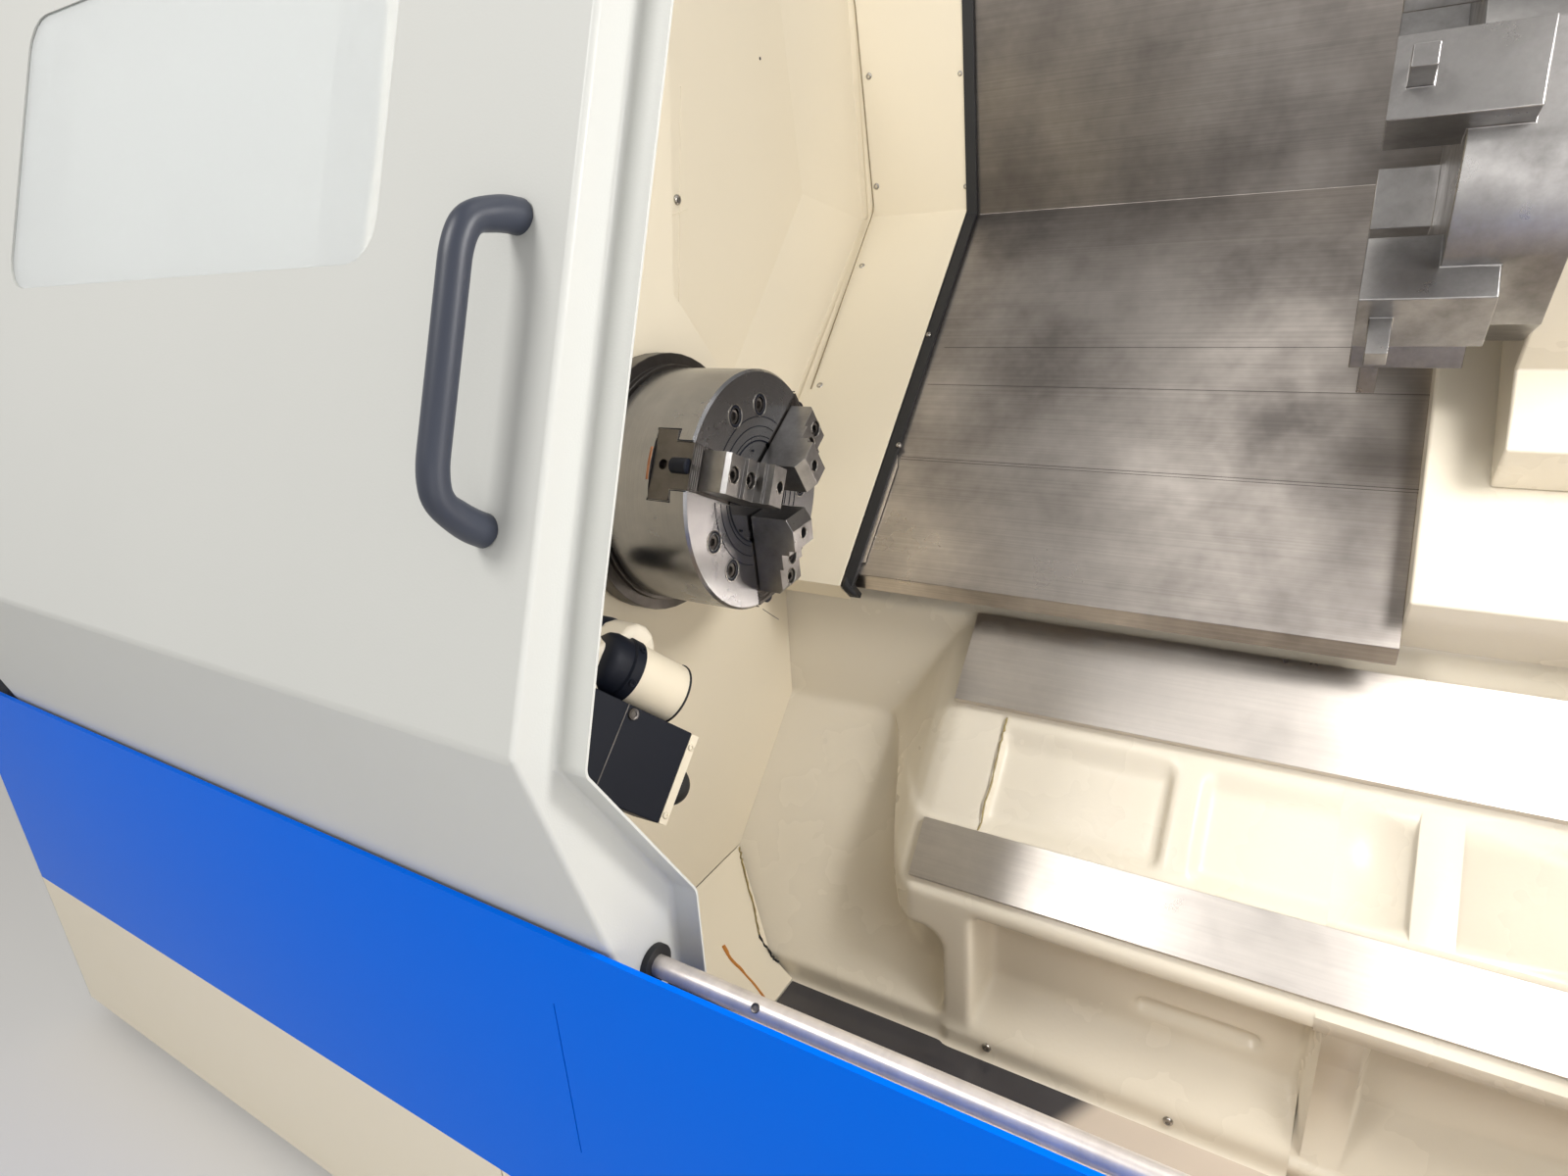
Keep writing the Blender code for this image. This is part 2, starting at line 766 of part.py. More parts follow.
def cover_profile(h, lip_top, lip_drop, top):
    """The profile of a way cover: lip, slanted sheet and leaning upper sheet."""
    fold = slope(FOLD_S + (COVER_H - h) * tan(radians(19.0)), h)
    lip = slope(lip_top, h)
    lean = fold[0] - COVER_LEAN * (top - fold[1])
    return [(lip[0] + lip_drop[0], lip[1] + lip_drop[1]), lip, fold, (lean, top)]


def inner_covers():
    """The end wall, the faceted headstock cover, the cover plates and wiper."""
    half_diagonal = CHUTE_H * sqrt(2.0)
    wall = [
        (-0.520, -0.835),
        (CHUTE_BACK - 2.0 * GAP - 0.250, -0.835),
        (CHUTE_BACK - 2.0 * GAP, CHUTE_BACK - half_diagonal + GAP),
        (CHUTE_BACK - 2.0 * GAP, -0.292),
        (0.322, -0.292),
        slope(LIP_S - 0.008, COVER_H - 0.006),
        slope(0.2405, COVER_H - 0.006),
        (0.105, 0.300),
        (0.190, TOP - 0.010),
        (-0.270, TOP - 0.010),
        (-0.420, 0.500),
        (-0.600, 0.060),
        (-0.640, -0.100),
        (-0.520, -0.300),
    ]
    bore = arc((0.0, 0.0), HOUSING_R + GAP, 0.0, 360.0, 40)[:-1]
    finish(plate("end_wall", wall, WALL_X - WALL_T, WALL_X, "X", [bore]), cream())
    chute()
    headstock_cover()
    cream_h = COVER_H - 0.012
    reach = 0.060
    drop = (reach * sin(SLANT), -reach * cos(SLANT))
    profile = cover_profile(cream_h, 0.020, drop, TOP - 0.010)
    cover = folded_sheet("cover_plate", profile, -0.262, -0.0125, SHEET, 1.0)
    cut(cover, box("wall_notch", (-0.300, 0.200, -0.400), (WALL_X + GAP, 0.470, -0.070)))
    finish(cover, cream())
    strip = cover_profile(COVER_H - 0.0003, 0.030, (0.028, -0.028), TOP - 0.020)
    wiper = folded_sheet("wiper_strip", strip, -0.0122, 0.012, 0.011, 1.0)
    finish(wiper, black())
    return cover


def chute():
    """The chute plate under the end wall, bent down to the chip pan."""
    (x0, z0), (x1, z1) = CHUTE_LINE
    run = sqrt((x1 - x0) ** 2 + (z1 - z0) ** 2)
    corner = CHUTE_H * sqrt(2.0)
    knee = (z0 - BED_FRONT + corner) / (z0 - z1) * run
    outline = [
        (-0.509, 0.0),
        (z0 + corner - 0.008, 0.0),
        (BED_FRONT - 0.005, knee),
        (BED_FRONT - 0.005, run),
        (-0.509, run),
    ]
    item = plate("chute_plate", outline, -SHEET, 0.0, "Z")
    along = Vector((x1 - x0, 0.0, z1 - z0)).normalized()
    across = Vector((0.0, 1.0, 0.0))
    turn = Matrix((across, along, across.cross(along))).transposed().to_4x4()
    item.matrix_basis = Matrix.Translation(ORIGIN + Vector((x0, 0.0, z0))) @ turn \
        @ Matrix.Translation((0.0, 0.0, SHEET / 2.0))
    return finish(item, cream())


def headstock_cover():
    """The folded cover behind the chuck: end face, two flanks and a flange."""
    end = -0.330
    inner = -0.280
    outer = -0.245
    under = COVER_H - 0.012 + SHEET + GAP + SHEET / 2.0
    high = TOP - 0.010
    fold_s = FOLD_S + (COVER_H - under) * tan(radians(19.0))
    fold = slope(fold_s, under)
    foot = slope(0.275, under)
    head = (fold[0] - COVER_LEAN * (high - fold[1]), high)
    corner = (0.766, 0.474)
    ridge = (corner[0] - 0.150 * (high - corner[1]), high)
    toe = (0.395, 0.082)
    spots = {
        "corner": (end, *corner),
        "ridge": (end, *ridge),
        "toe": (end, *toe),
        "back_top": (end, 0.210, high),
        "back_mid": (end, 0.125, 0.310),
        "back_low": (end, 0.310, 0.020),
        "in_fold": (inner, *fold),
        "in_head": (inner, *head),
        "in_foot": (inner, *foot),
        "out_fold": (outer, *fold),
        "out_head": (outer, *head),
        "out_foot": (outer, *foot),
    }
    work = bmesh.new()
    at = {name: work.verts.new(spot) for name, spot in spots.items()}
    for ring in (
        ("corner", "ridge", "back_top", "back_mid", "back_low", "toe"),
        ("corner", "in_fold", "in_head", "ridge"),
        ("corner", "toe", "in_foot", "in_fold"),
        ("in_fold", "out_fold", "out_head", "in_head"),
        ("in_foot", "out_foot", "out_fold", "in_fold"),
    ):
        work.faces.new([at[name] for name in ring])
    bmesh.ops.recalc_face_normals(work, faces=work.faces)
    item = mesh_object("headstock_cover", work)
    thicken(item, SHEET, 0.0)
    return finish(item, cream())


def chip_pan():
    """The chip pan, with its front wall and the sill behind the blue panel."""
    profile = [
        (BED_FRONT - 0.001, PAN_Z),
        (-0.505, PAN_Z),
        (-0.505, SILL_Z),
        (PANEL_Y + 0.002 + GAP, SILL_Z),
    ]
    pan = folded_sheet("chip_pan", profile, WALL_X + GAP, 2.000, SHEET, 1.0)
    (x0, z0), (x1, z1) = CHUTE_LINE
    rise = (z0 - z1) / (x1 - x0)
    wedge = [(x0 - 0.100, z1 - 0.100), (x1 + 0.0005, z1 - 0.100), (x1 + 0.0005, z1 + GAP),
             (x0 - 0.100, z0 + 0.100 * rise + GAP)]
    cut(pan, plate("chute_notch", wedge, -0.700, 0.100, "Y"))
    return finish(pan, material("pan_paint", (0.35, 0.33, 0.31), 0.3))


# Steel way covers on the carriage


def way_cover(name, low, high):
    """A folded steel cover that slides with the carriage."""
    profile = cover_profile(COVER_H, LIP_S, (0.012, -0.033), COVER_TOP)
    return finish(folded_sheet(name, profile, low, high, SHEET, -1.0), steel())


# Door: bent sheet on a round rail


def door_back(z):
    """The y of the door's back edge at height z, from its folds."""
    points = [(DOOR_BOTTOM[1], -0.520), (-0.320, -0.520), (DOOR_RIDGE[1], DOOR_RIDGE[0]), (0.072, -0.604),
              (0.579, -0.415)]
    last = points[0]
    for point in points[1:]:
        if z <= point[0]:
            share = (z - last[0]) / (point[0] - last[0])
            return last[1] + share * (point[1] - last[1])
        last = point
    return last[1] + (z - last[0]) * (0.189 / 0.507)


def door_shell():
    """The door's skin, end returns and the flange along its leading edge."""
    left = DOOR_RIGHT - DOOR_WIDTH
    heights = [DOOR_BOTTOM[1], -0.320, DOOR_FOLD[1], 0.072, 0.579, DOOR_TOP]
    rows = []
    for z in heights:
        ridge = DOOR_RIDGE if z == DOOR_FOLD[1] else (door_back(z), z)
        skin = door_y(z)
        rows.append([
            (left + 0.030, *ridge),
            (left, *ridge),
            (left, skin, z),
            (DOOR_RIGHT, skin, z),
            (DOOR_RIGHT, *ridge),
            (DOOR_RIGHT + FLANGE_W, *ridge),
        ])
    work = bmesh.new()
    grid = [[work.verts.new(spot) for spot in row] for row in rows]
    for low, high in zip(grid, grid[1:]):
        for index in range(len(low) - 1):
            work.faces.new((low[index], low[index + 1], high[index + 1], high[index]))
    bmesh.ops.recalc_face_normals(work, faces=work.faces)
    door = mesh_object("door_shell", work)
    thicken(door, DOOR_SHEET, 0.0)
    window = rounded((WINDOW_RIGHT - WINDOW_W, WINDOW_LOW), (WINDOW_RIGHT, WINDOW_HIGH),
                     WINDOW_CORNER)
    cut(door, plate("window_cut", window, -0.620, -0.330, "Y"))
    for end in (left, DOOR_RIGHT):
        cut(door, rod("rail_cut", 0.022, end - 0.010, end + 0.010, (0.0, RAIL_Y, RAIL_Z), steps=24))
    return finish(door, white())


def door_parts():
    """The door's window, handle and the bushings that run on the rail."""
    edge = 0.030
    height = (WINDOW_HIGH - WINDOW_LOW) / cos(DOOR_LEAN_ANGLE)
    outline = rounded((WINDOW_RIGHT - WINDOW_W - edge, -edge), (WINDOW_RIGHT + edge, height + edge),
                      WINDOW_CORNER + edge)
    inset = DOOR_SHEET / 2.0 + GAP
    pane = plate("door_window", outline, inset, inset + 0.008, "Y")
    seat = Matrix.Translation((0.0, door_y(WINDOW_LOW), WINDOW_LOW))
    move(pane, seat @ Matrix.Rotation(-DOOR_LEAN_ANGLE, 4, "X"))
    finish(pane, material("window_glass", (0.75, 0.80, 0.80), 0.05, 0.0, 0.35))
    pieces = [pane, door_handle()]
    walls = (("door_bushing_right", DOOR_RIGHT), ("door_bushing_left", DOOR_RIGHT - DOOR_WIDTH))
    for name, wall in walls:
        out = DOOR_SHEET / 2.0 + GAP
        profile = [
            (RAIL_R + GAP, wall + out + 0.008),
            (0.024, wall + out + 0.008),
            (0.024, wall + out),
            (0.022 - GAP, wall + out),
            (0.022 - GAP, wall - 0.014),
            (RAIL_R + GAP, wall - 0.014),
        ]
        item = turned(name, profile, (0.0, RAIL_Y, RAIL_Z), steps=24, ring=True)
        pieces.append(finish(item, black(), True))
    return pieces


def door_handle():
    """A bowed tube handle with splayed legs, standing square to the skin."""
    outward = Vector((0.0, -cos(DOOR_LEAN_ANGLE), sin(DOOR_LEAN_ANGLE)))
    up = Vector((0.0, sin(DOOR_LEAN_ANGLE), cos(DOOR_LEAN_ANGLE)))
    feet = [Vector((HANDLE_X, door_y(z), z)) for z in HANDLE_Z]
    lift = outward * (DOOR_SHEET / 2.0 + GAP)
    grip = outward * HANDLE_OUT
    splay = up * 0.016
    path = [
        feet[0] + lift,
        feet[0] + outward * 0.018,
        feet[0] + grip * 0.84 + splay * 0.9,
        feet[0] + grip + splay * 2.2,
        feet[1] + grip - splay * 2.2,
        feet[1] + grip * 0.84 - splay * 0.9,
        feet[1] + outward * 0.018,
        feet[1] + lift,
    ]
    curve = bpy.data.curves.new("door_handle", "CURVE")
    curve.dimensions = "3D"
    curve.bevel_depth = HANDLE_R
    curve.bevel_resolution = 3
    curve.use_fill_caps = True
    spline = curve.splines.new("POLY")
    spline.points.add(len(path) - 1)
    for point, spot in zip(spline.points, path):
        point.co = (*spot, 1.0)
    item = put(bpy.data.objects.new("door_handle", curve))
    item.location = ORIGIN
    return finish(curve_to_mesh(item), material("handle_coat", (0.07, 0.075, 0.09), 0.5), True)


# Outer panels


def outer_front():
    """The enclosure's front outline from the blue panel's top to the roof."""
    return [
        (PANEL_Y, PANEL_TOP + GAP),
        DOOR_FOLD,
        (door_y(DOOR_TOP), DOOR_TOP),
        (-0.310, TOP),
    ]


def return_outline(depth):
    """A strip that follows the front outline, as deep as it is told."""
    front = outer_front()
    back = [(y + depth, z) for y, z in reversed(front[:-1])]
    return [*front, (front[-1][0] + depth, TOP - SHEET / 2.0), *back]


def opening_outline(depth):
    """The same strip, ending under the door's upper guide."""
    front = outer_front()[:3]
    return [*front, *((y + depth, z) for y, z in reversed(front))]


def end_cabinet(name, side_x, inward, roof_reach, bed_end):
    """An end of the enclosure: side wall, front pillar, back return and roof."""
    outline = [(PANEL_Y, SKIRT_LOW), *outer_front(), (BACK_WALL, TOP), (BACK_WALL, SKIRT_LOW)]
    cabinet = plate(name, outline, *sorted((side_x, side_x + inward * SHEET)))
    root = side_x + inward * 0.001
    reach = side_x + inward * PILLAR_W
    strip = return_outline(SHEET)
    join(cabinet, plate("pillar", strip, *sorted((root, reach))))
    deep = return_outline(0.110)
    join(cabinet, plate("pillar_return", deep, *sorted((reach - inward * SHEET, reach - inward * 0.0001))))
    x0, x1 = sorted((root, roof_reach))
    roof_y = outer_front()[-1][0] + SHEET + GAP
    join(cabinet, box("roof", (x0, roof_y, TOP - SHEET), (x1, BACK_WALL, TOP - 0.0001)))
    x0, x1 = sorted((root, bed_end))
    join(cabinet, box("bracket", (x0, -0.300, BED_BOTTOM + 0.010), (x1, -0.180, BED_BOTTOM + 0.060)))
    return cabinet


def front_panels():
    """The blue panel, the cream skirts and the fixed covers beside the door."""
    fold = 0.020
    blue_profile = [
        (PANEL_Y + fold, PANEL_LOW + GAP),
        (PANEL_Y, PANEL_LOW + GAP),
        (PANEL_Y, PANEL_TOP),
        (PANEL_Y + 0.007, PANEL_TOP),
    ]
    inside = (LEFT + SHEET + GAP, RIGHT - SHEET - GAP)
    panel = folded_sheet("front_panel", blue_profile, *inside, 0.002, -1.0)
    cut(panel, box("slit", (SLIT_X, PANEL_Y - 0.010, PANEL_LOW + 0.140),
                   (SLIT_X + 0.0015, PANEL_Y + 0.010, PANEL_TOP - 0.100)))
    finish(panel, blue())
    skirt_profile = [
        (PANEL_Y + fold, SKIRT_LOW),
        (PANEL_Y, SKIRT_LOW),
        (PANEL_Y, PANEL_LOW),
        (PANEL_Y + fold, PANEL_LOW),
    ]
    seam = 0.001
    left = folded_sheet("skirt_panel_left", skirt_profile, inside[0], SKIRT_SEAM - seam, 0.002, -1.0)
    right = folded_sheet("skirt_panel_right", skirt_profile, SKIRT_SEAM + seam, inside[1], 0.002, -1.0)
    for item in (left, right):
        finish(item, cream())


def front_covers():
    """The fixed covers: one behind the open door, one right of the opening."""
    clear = 0.016
    heights = [DOOR_BOTTOM[1], -0.320, -0.090, 0.072, 0.579, DOOR_TOP + 0.040]
    profile = [(door_back(z) + clear, z) for z in heights]
    left = folded_sheet("front_cover_left", profile, LEFT + PILLAR_W + GAP, COVER_LEFT_END, SHEET, -1.0)
    finish(left, white())
    end = RIGHT - PILLAR_W - GAP
    right = plate("front_cover_right", return_outline(SHEET), OPENING_RIGHT, end)
    join(right, plate("opening_return", opening_outline(0.032), OPENING_RIGHT + 0.0001,
                      OPENING_RIGHT + SHEET))
    finish(right, white())


def rails():
    """The door's lower rail and its upper guide."""
    finish(rod("door_rail", RAIL_R, LEFT + SHEET + GAP, RIGHT - SHEET - GAP,
               (0.0, RAIL_Y, RAIL_Z), steps=20), steel(), True)
    low = DOOR_TOP + 0.012
    guide = box("door_top_rail", (LEFT + PILLAR_W + GAP, door_y(low) + 0.030, low),
                (RIGHT - PILLAR_W - GAP, door_y(low) + 0.050, low + 0.030))
    finish(guide, steel())


def rear_panels():
    """The back wall and the electrical cabinet on it, with its door."""
    wall = box("rear_panel", (LEFT + SHEET + GAP, BACK_WALL - SHEET, SKIRT_LOW),
               (RIGHT - SHEET - GAP, BACK_WALL - GAP, TOP - SHEET - GAP))
    finish(wall, white())
    x0, x1 = -0.900, 0.300
    z0, z1 = -0.800, 0.700
    door_t = 0.025
    back = REAR - door_t - GAP
    shell = box("electrical_cabinet", (x0, BACK_WALL, z0), (x1, back, z1))
    cut(shell, box("cabinet_room", (x0 + 0.02, BACK_WALL + 0.02, z0 + 0.02),
                   (x1 - 0.02, REAR, z1 - 0.02)))
    finish(shell, white())
    door = box("cabinet_door", (x0, REAR - door_t, z0), (x1, REAR, z1))
    carry(axis_empty("cabinet_hinge", (x0, REAR, 0.0)), finish(door, white()))


# Carriage, turret and tailstock


def carriage():
    """The saddle on its ways with its covers, the cross slide and the turret."""
    low, high = SADDLE_WAY_S[0][0] - 0.020, SADDLE_WAY_S[1][1] + 0.020
    seat = WAY_H - GAP
    top = 0.340
    outline = [slope(low, seat), slope(low, top), slope(high, top), slope(high, seat)]
    saddle = finish(plate("saddle", outline, *SADDLE_X), cream())
    cover_left = way_cover("way_cover_left", -0.120, SADDLE_X[0] - GAP)
    cover_right = way_cover("way_cover_right", SADDLE_X[1] + GAP, 2.120)
    slide_x = (SADDLE_X[0] + 0.080, SADDLE_X[1] - 0.040)
    base = top - GAP
    half = 0.180
    block = [
        slope(TURRET_S - 0.300, base),
        slope(TURRET_S - 0.300, 0.240),
        slope(TURRET_S - half, 0.220),
        slope(TURRET_S - half, -0.120),
        slope(TURRET_S - half + 0.060, -half),
        slope(TURRET_S + half - 0.060, -half),
        slope(TURRET_S + half, -0.120),
        slope(TURRET_S + half, 0.220),
        slope(TURRET_S + 0.320, 0.240),
        slope(TURRET_S + 0.320, base),
    ]
    slide = finish(plate("cross_slide", block, *slide_x), cream())
    disc = turret(slide_x[0])
    hub = (0.0, *slope(TURRET_S, 0.0))
    saddle_empty = axis_empty("saddle_slide", (SADDLE_X[0], 0.0, 0.0))
    carry(saddle_empty, saddle, cover_left, cover_right)
    slide_empty = axis_empty("cross_slide_line", (slide_x[0], *hub[1:]))
    carry(slide_empty, slide)
    turret_empty = axis_empty("turret_axis", (slide_x[0], *hub[1:]))
    carry(turret_empty, disc)


def turret(face_x):
    """The turret disc with its tool holders at every second station."""
    y, z = slope(TURRET_S, 0.0)
    flats = [(y + TURRET_R * cos(2.0 * pi * side / TURRET_SIDES),
              z + TURRET_R * sin(2.0 * pi * side / TURRET_SIDES))
             for side in range(TURRET_SIDES)]
    disc = plate("turret_disc", flats, face_x - 0.120, face_x - 0.001)
    for station in range(0, TURRET_SIDES, 2):
        angle = 2.0 * pi * (station + 0.5) / TURRET_SIDES
        holder = box("holder", (face_x - 0.200, -0.045, TURRET_R - 0.060),
                     (face_x - 0.060, 0.045, TURRET_R + 0.040))
        tool = box("tool", (face_x - 0.185, -0.012, TURRET_R + 0.020),
                   (face_x - 0.160, 0.012, TURRET_R + 0.095))
        for part in (holder, tool):
            move(part, Matrix.Translation((0.0, y, z)) @ Matrix.Rotation(angle, 4, "X"))
            join(disc, part)
    return finish(disc, steel())


def tailstock():
    """The tailstock on its two ways, its quill and the live centre."""
    seat = WAY_H - GAP
    outline = [
        slope(LOWER_WAY_S[0] + 0.004, seat),
        slope(LOWER_WAY_S[0] + 0.004, 0.430),
        slope(-0.220, 0.300),
        slope(-0.130, -0.060),
        slope(-0.080, -0.120),
        slope(0.050, -0.120),
        slope(TAIL_TOP_S, -0.070),
        slope(TAIL_TOP_S, 0.375),
        slope(0.000, 0.385),
        slope(0.000, seat),
    ]
    bore = arc((0.0, 0.0), QUILL_R + GAP, 0.0, 360.0, 32)[:-1]
    body = finish(plate("tailstock_body", outline, *TAIL_X, "X", [bore]), cream())
    nose = TAIL_X[0] - 0.040
    quill = finish(rod("tailstock_quill", QUILL_R, nose, TAIL_X[1] - 0.020), steel(), True)
    tip = [
        (0.0, nose - GAP),
        (0.040, nose - GAP),
        (0.040, nose - 0.110),
        (0.028, nose - 0.130),
        (0.0, CENTRE_TIP),
    ]
    centre = finish(turned("live_centre", tip, steps=28), steel(), True)
    carry(axis_empty("tailstock_slide", (TAIL_X[0], 0.0, 0.0)), body)
    carry(axis_empty("quill_line", (nose, 0.0, 0.0)), quill)
    carry(axis_empty("centre_axis", (nose, 0.0, 0.0)), centre)


# Tool setter beside the chuck, and the operator's pendant


def tool_setter():
    """The setter's pivot on the end wall, its elbow and the arm's box."""
    pivot = Vector(SETTER_PIVOT)
    face = pivot.x
    profile = [
        (0.0, face),
        (0.042, face),
        (0.042, face - 0.004),
        (0.048, face - 0.004),
        (0.048, WALL_X + GAP),
        (0.0, WALL_X + GAP),
    ]
    base = turned("tool_setter_base", profile, (0.0, pivot.y, pivot.z), "X", 28)
    finish(base, cream(), True)
    down = Vector((0.0, -cos(SLANT), -sin(SLANT)))
    lean = radians(66.2)
    across = Vector((cos(lean), sin(lean) * sin(SLANT), -sin(lean) * cos(SLANT)))
    out = across.cross(down)
    corner = Vector((0.019, -0.250, -0.304))
    width, length, thick = 0.185, 0.137, 0.070
    arm = box("tool_setter_arm", (-width, 0.0, 0.0), (0.0, length, thick))
    turn = Matrix((across, down, out)).transposed().to_4x4()
    arm.matrix_basis = Matrix.Translation(ORIGIN + corner) @ turn
    finish(arm, black())
    total = corner.y + corner.z + GAP * sqrt(2.0)
    elbow = [(-0.290, total + 0.290), (-0.380, total + 0.380), (-0.350, -0.150)]
    elbow += arc((pivot.y, pivot.z), 0.046, 120.0, -30.0, 6)
    link = plate("tool_setter_elbow", elbow, face + GAP, face + 0.055)
    finish(link, cream())
    carry(axis_empty("setter_axis", SETTER_PIVOT), link, arm)


def pendant():
    """The swivelling control pendant on its arm, with the stop button."""
    post = Vector((RIGHT - 0.038, -0.550, 0.598))
    hang = Vector((1.740, -0.745, 0.598))
    arm = bpy.data.curves.new("pendant_arm", "CURVE")
    arm.dimensions = "3D"
    arm.bevel_depth = 0.022
    arm.bevel_resolution = 2
    arm.use_fill_caps = True
    path = [post, hang + Vector((0.030, 0.0, 0.0)), hang + Vector((0.008, 0.0, -0.010)),
            hang + Vector((0.0, 0.0, -0.032)), hang + Vector((0.0, 0.0, -0.068 + GAP))]
    spline = arm.splines.new("POLY")
    spline.points.add(len(path) - 1)
    for point, spot in zip(spline.points, path):
        point.co = (*spot, 1.0)
    tube = put(bpy.data.objects.new("pendant_arm", arm))
    tube.location = ORIGIN
    tube = curve_to_mesh(tube)
    join(tube, rod("pendant_hub", 0.034, post.z - 0.023, post.z + 0.030, (post.x, post.y, 0.0), "Z", 20))
    finish(tube, white())
    case = box("pendant_box", (1.500, FRONT + 0.025, 0.080), (1.980, FRONT + 0.085, 0.530))
    cut(case, rod("button_hole", BUTTON_R + 0.001, -0.785, -0.760, (1.900, 0.0, 0.160), "Y", 20))
    finish(case, white())
    button = turned("emergency_button", [
        (0.0, -FRONT),
        (0.014, -FRONT),
        (0.020, -FRONT - 0.006),
        (0.020, -FRONT - 0.014),
        (BUTTON_R, -FRONT - 0.016),
        (BUTTON_R, -FRONT - 0.032),
        (0.0, -FRONT - 0.032),
    ], (1.900, 0.0, 0.160), "Y", 20)
    finish(button, material("stop_red", (0.6, 0.02, 0.02), 0.4), True)
    button.rotation_euler = (pi / 2.0, 0.0, 0.0)
    carry(axis_empty("pendant_axis", post), tube, case, button)


def build():
    """Make every piece of the lathe."""
    start()
    bed_casting()
    tailstock_way("tailstock_way_upper", UPPER_WAY_S, UPPER_WAY_T, UPPER_WAY_X)
    tailstock_way("tailstock_way_lower", LOWER_WAY_S, LOWER_WAY_T, LOWER_WAY_X)
    headstock_casting()
    spots = [(-1.150, -0.370), (2.000, -0.370), (-1.150, 0.980), (2.000, 0.980)]
    for number, (x, y) in enumerate(spots, 1):
        levelling_foot("levelling_foot_%d" % number, x, y)
    spindle_line()
    chuck_body()
    for number, angle in enumerate(JAW_ANGLES, 1):
        master_jaw("master_jaw_%d" % number, angle)
        top_jaw("top_jaw_%d" % number, angle)
    inner_covers()
    chip_pan()
    carriage()
    tailstock()
    door = door_shell()
    carry(axis_empty("door_slide", (DOOR_RIGHT, RAIL_Y, RAIL_Z)), door, *door_parts())
    left = end_cabinet("end_cabinet_left", LEFT, 1.0, ROOF_LEFT, BED_LEFT - GAP)
    right = end_cabinet("end_cabinet_right", RIGHT, -1.0, ROOF_RIGHT, BED_RIGHT + GAP)
    join(right, box("pendant_bracket", (RIGHT - 0.054, -0.590, 0.535), (RIGHT - 0.006, -0.440, 0.575 - GAP)))
    for item in (left, right):
        finish(item, white())
    front_panels()
    front_covers()
    rails()
    rear_panels()
    tool_setter()
    pendant()


build()
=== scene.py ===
"""Looks of the slant-bed turning lathe, seen past its open door into the chuck's end of the work area."""
import json
import random
from math import atan, cos, pi, radians, sin, sqrt

import bmesh
import bpy
from mathutils import Matrix, Vector

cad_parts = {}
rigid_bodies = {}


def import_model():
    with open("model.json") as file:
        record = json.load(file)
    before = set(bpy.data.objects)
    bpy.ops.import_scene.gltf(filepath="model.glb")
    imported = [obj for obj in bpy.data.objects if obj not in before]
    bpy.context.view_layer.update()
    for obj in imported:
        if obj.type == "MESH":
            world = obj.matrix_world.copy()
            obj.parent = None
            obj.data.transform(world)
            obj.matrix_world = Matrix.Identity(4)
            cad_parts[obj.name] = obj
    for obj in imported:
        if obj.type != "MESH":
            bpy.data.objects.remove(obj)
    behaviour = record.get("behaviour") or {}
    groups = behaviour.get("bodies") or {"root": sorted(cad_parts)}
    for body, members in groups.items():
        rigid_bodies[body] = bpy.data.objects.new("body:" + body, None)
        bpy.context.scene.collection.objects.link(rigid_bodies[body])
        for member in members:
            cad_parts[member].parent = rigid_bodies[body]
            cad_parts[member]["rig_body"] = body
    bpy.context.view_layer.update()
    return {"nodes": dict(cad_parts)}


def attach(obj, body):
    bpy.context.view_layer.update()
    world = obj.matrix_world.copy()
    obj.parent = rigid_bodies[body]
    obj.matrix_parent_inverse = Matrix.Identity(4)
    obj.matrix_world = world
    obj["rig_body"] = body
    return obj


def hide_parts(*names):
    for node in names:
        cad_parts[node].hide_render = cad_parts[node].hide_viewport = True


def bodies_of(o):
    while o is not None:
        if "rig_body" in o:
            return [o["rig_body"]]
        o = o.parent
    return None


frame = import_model()

# The camera
# It stands in front of the door's opening, a little right of the chuck and above it, and looks down to the left.
# Every place below is told from the centre of the chuck's front face, where the spindle's axis leaves it.
CHUCK_FACE = Vector((-0.400, -0.250, 1.200))
EYE = Vector((0.781, -1.184, 0.357))
PHOTO_WIDTH = 1600.0
FOCUS = 931.4
yaw = radians(32.1)
pitch = radians(20.25)
roll = radians(3.56)
ahead = Vector((-sin(yaw) * cos(pitch), cos(yaw) * cos(pitch), -sin(pitch)))
level = Vector((cos(yaw), sin(yaw), 0.0))
down = ahead.cross(level)
right = level * cos(roll) + down * sin(roll)
down = down * cos(roll) - level * sin(roll)
lens = bpy.data.cameras.new("photo_camera")
lens.sensor_fit = "HORIZONTAL"
lens.sensor_width = 36.0
lens.lens = FOCUS * lens.sensor_width / PHOTO_WIDTH
lens.clip_start = 0.02
lens.clip_end = 50.0
camera = bpy.data.objects.new("photo_camera", lens)
view = Matrix((right, -down, -ahead)).transposed().to_4x4()
camera.matrix_world = Matrix.Translation(CHUCK_FACE + EYE) @ view
bpy.context.scene.collection.objects.link(camera)
bpy.context.scene.camera = camera
bpy.context.scene.view_settings.view_transform = "Standard"

# The shop's light and the floor
# A white hall with soft light from all round, a broad lamp over the left shoulder and light through the open top.
# A small lamp inside at the right throws the chuck's shadow on the wall, and two weak ones fill the low parts.


def linear(red, green, blue):
    """A colour as seen, 0 to 255, made the value that a shader takes."""
    shares = [part / 255.0 for part in (red, green, blue)]
    return tuple(share / 12.92 if share <= 0.04045 else ((share + 0.055) / 1.055) ** 2.4 for share in shares) + (1.0,)


def add_node(tree, kind, **values):
    """A shader node with its plain properties and its unlinked sockets set by name."""
    made = tree.nodes.new(kind)
    for key, value in values.items():
        if hasattr(made, key):
            setattr(made, key, value)
        else:
            made.inputs[key.replace("_", " ")].default_value = value
    return made


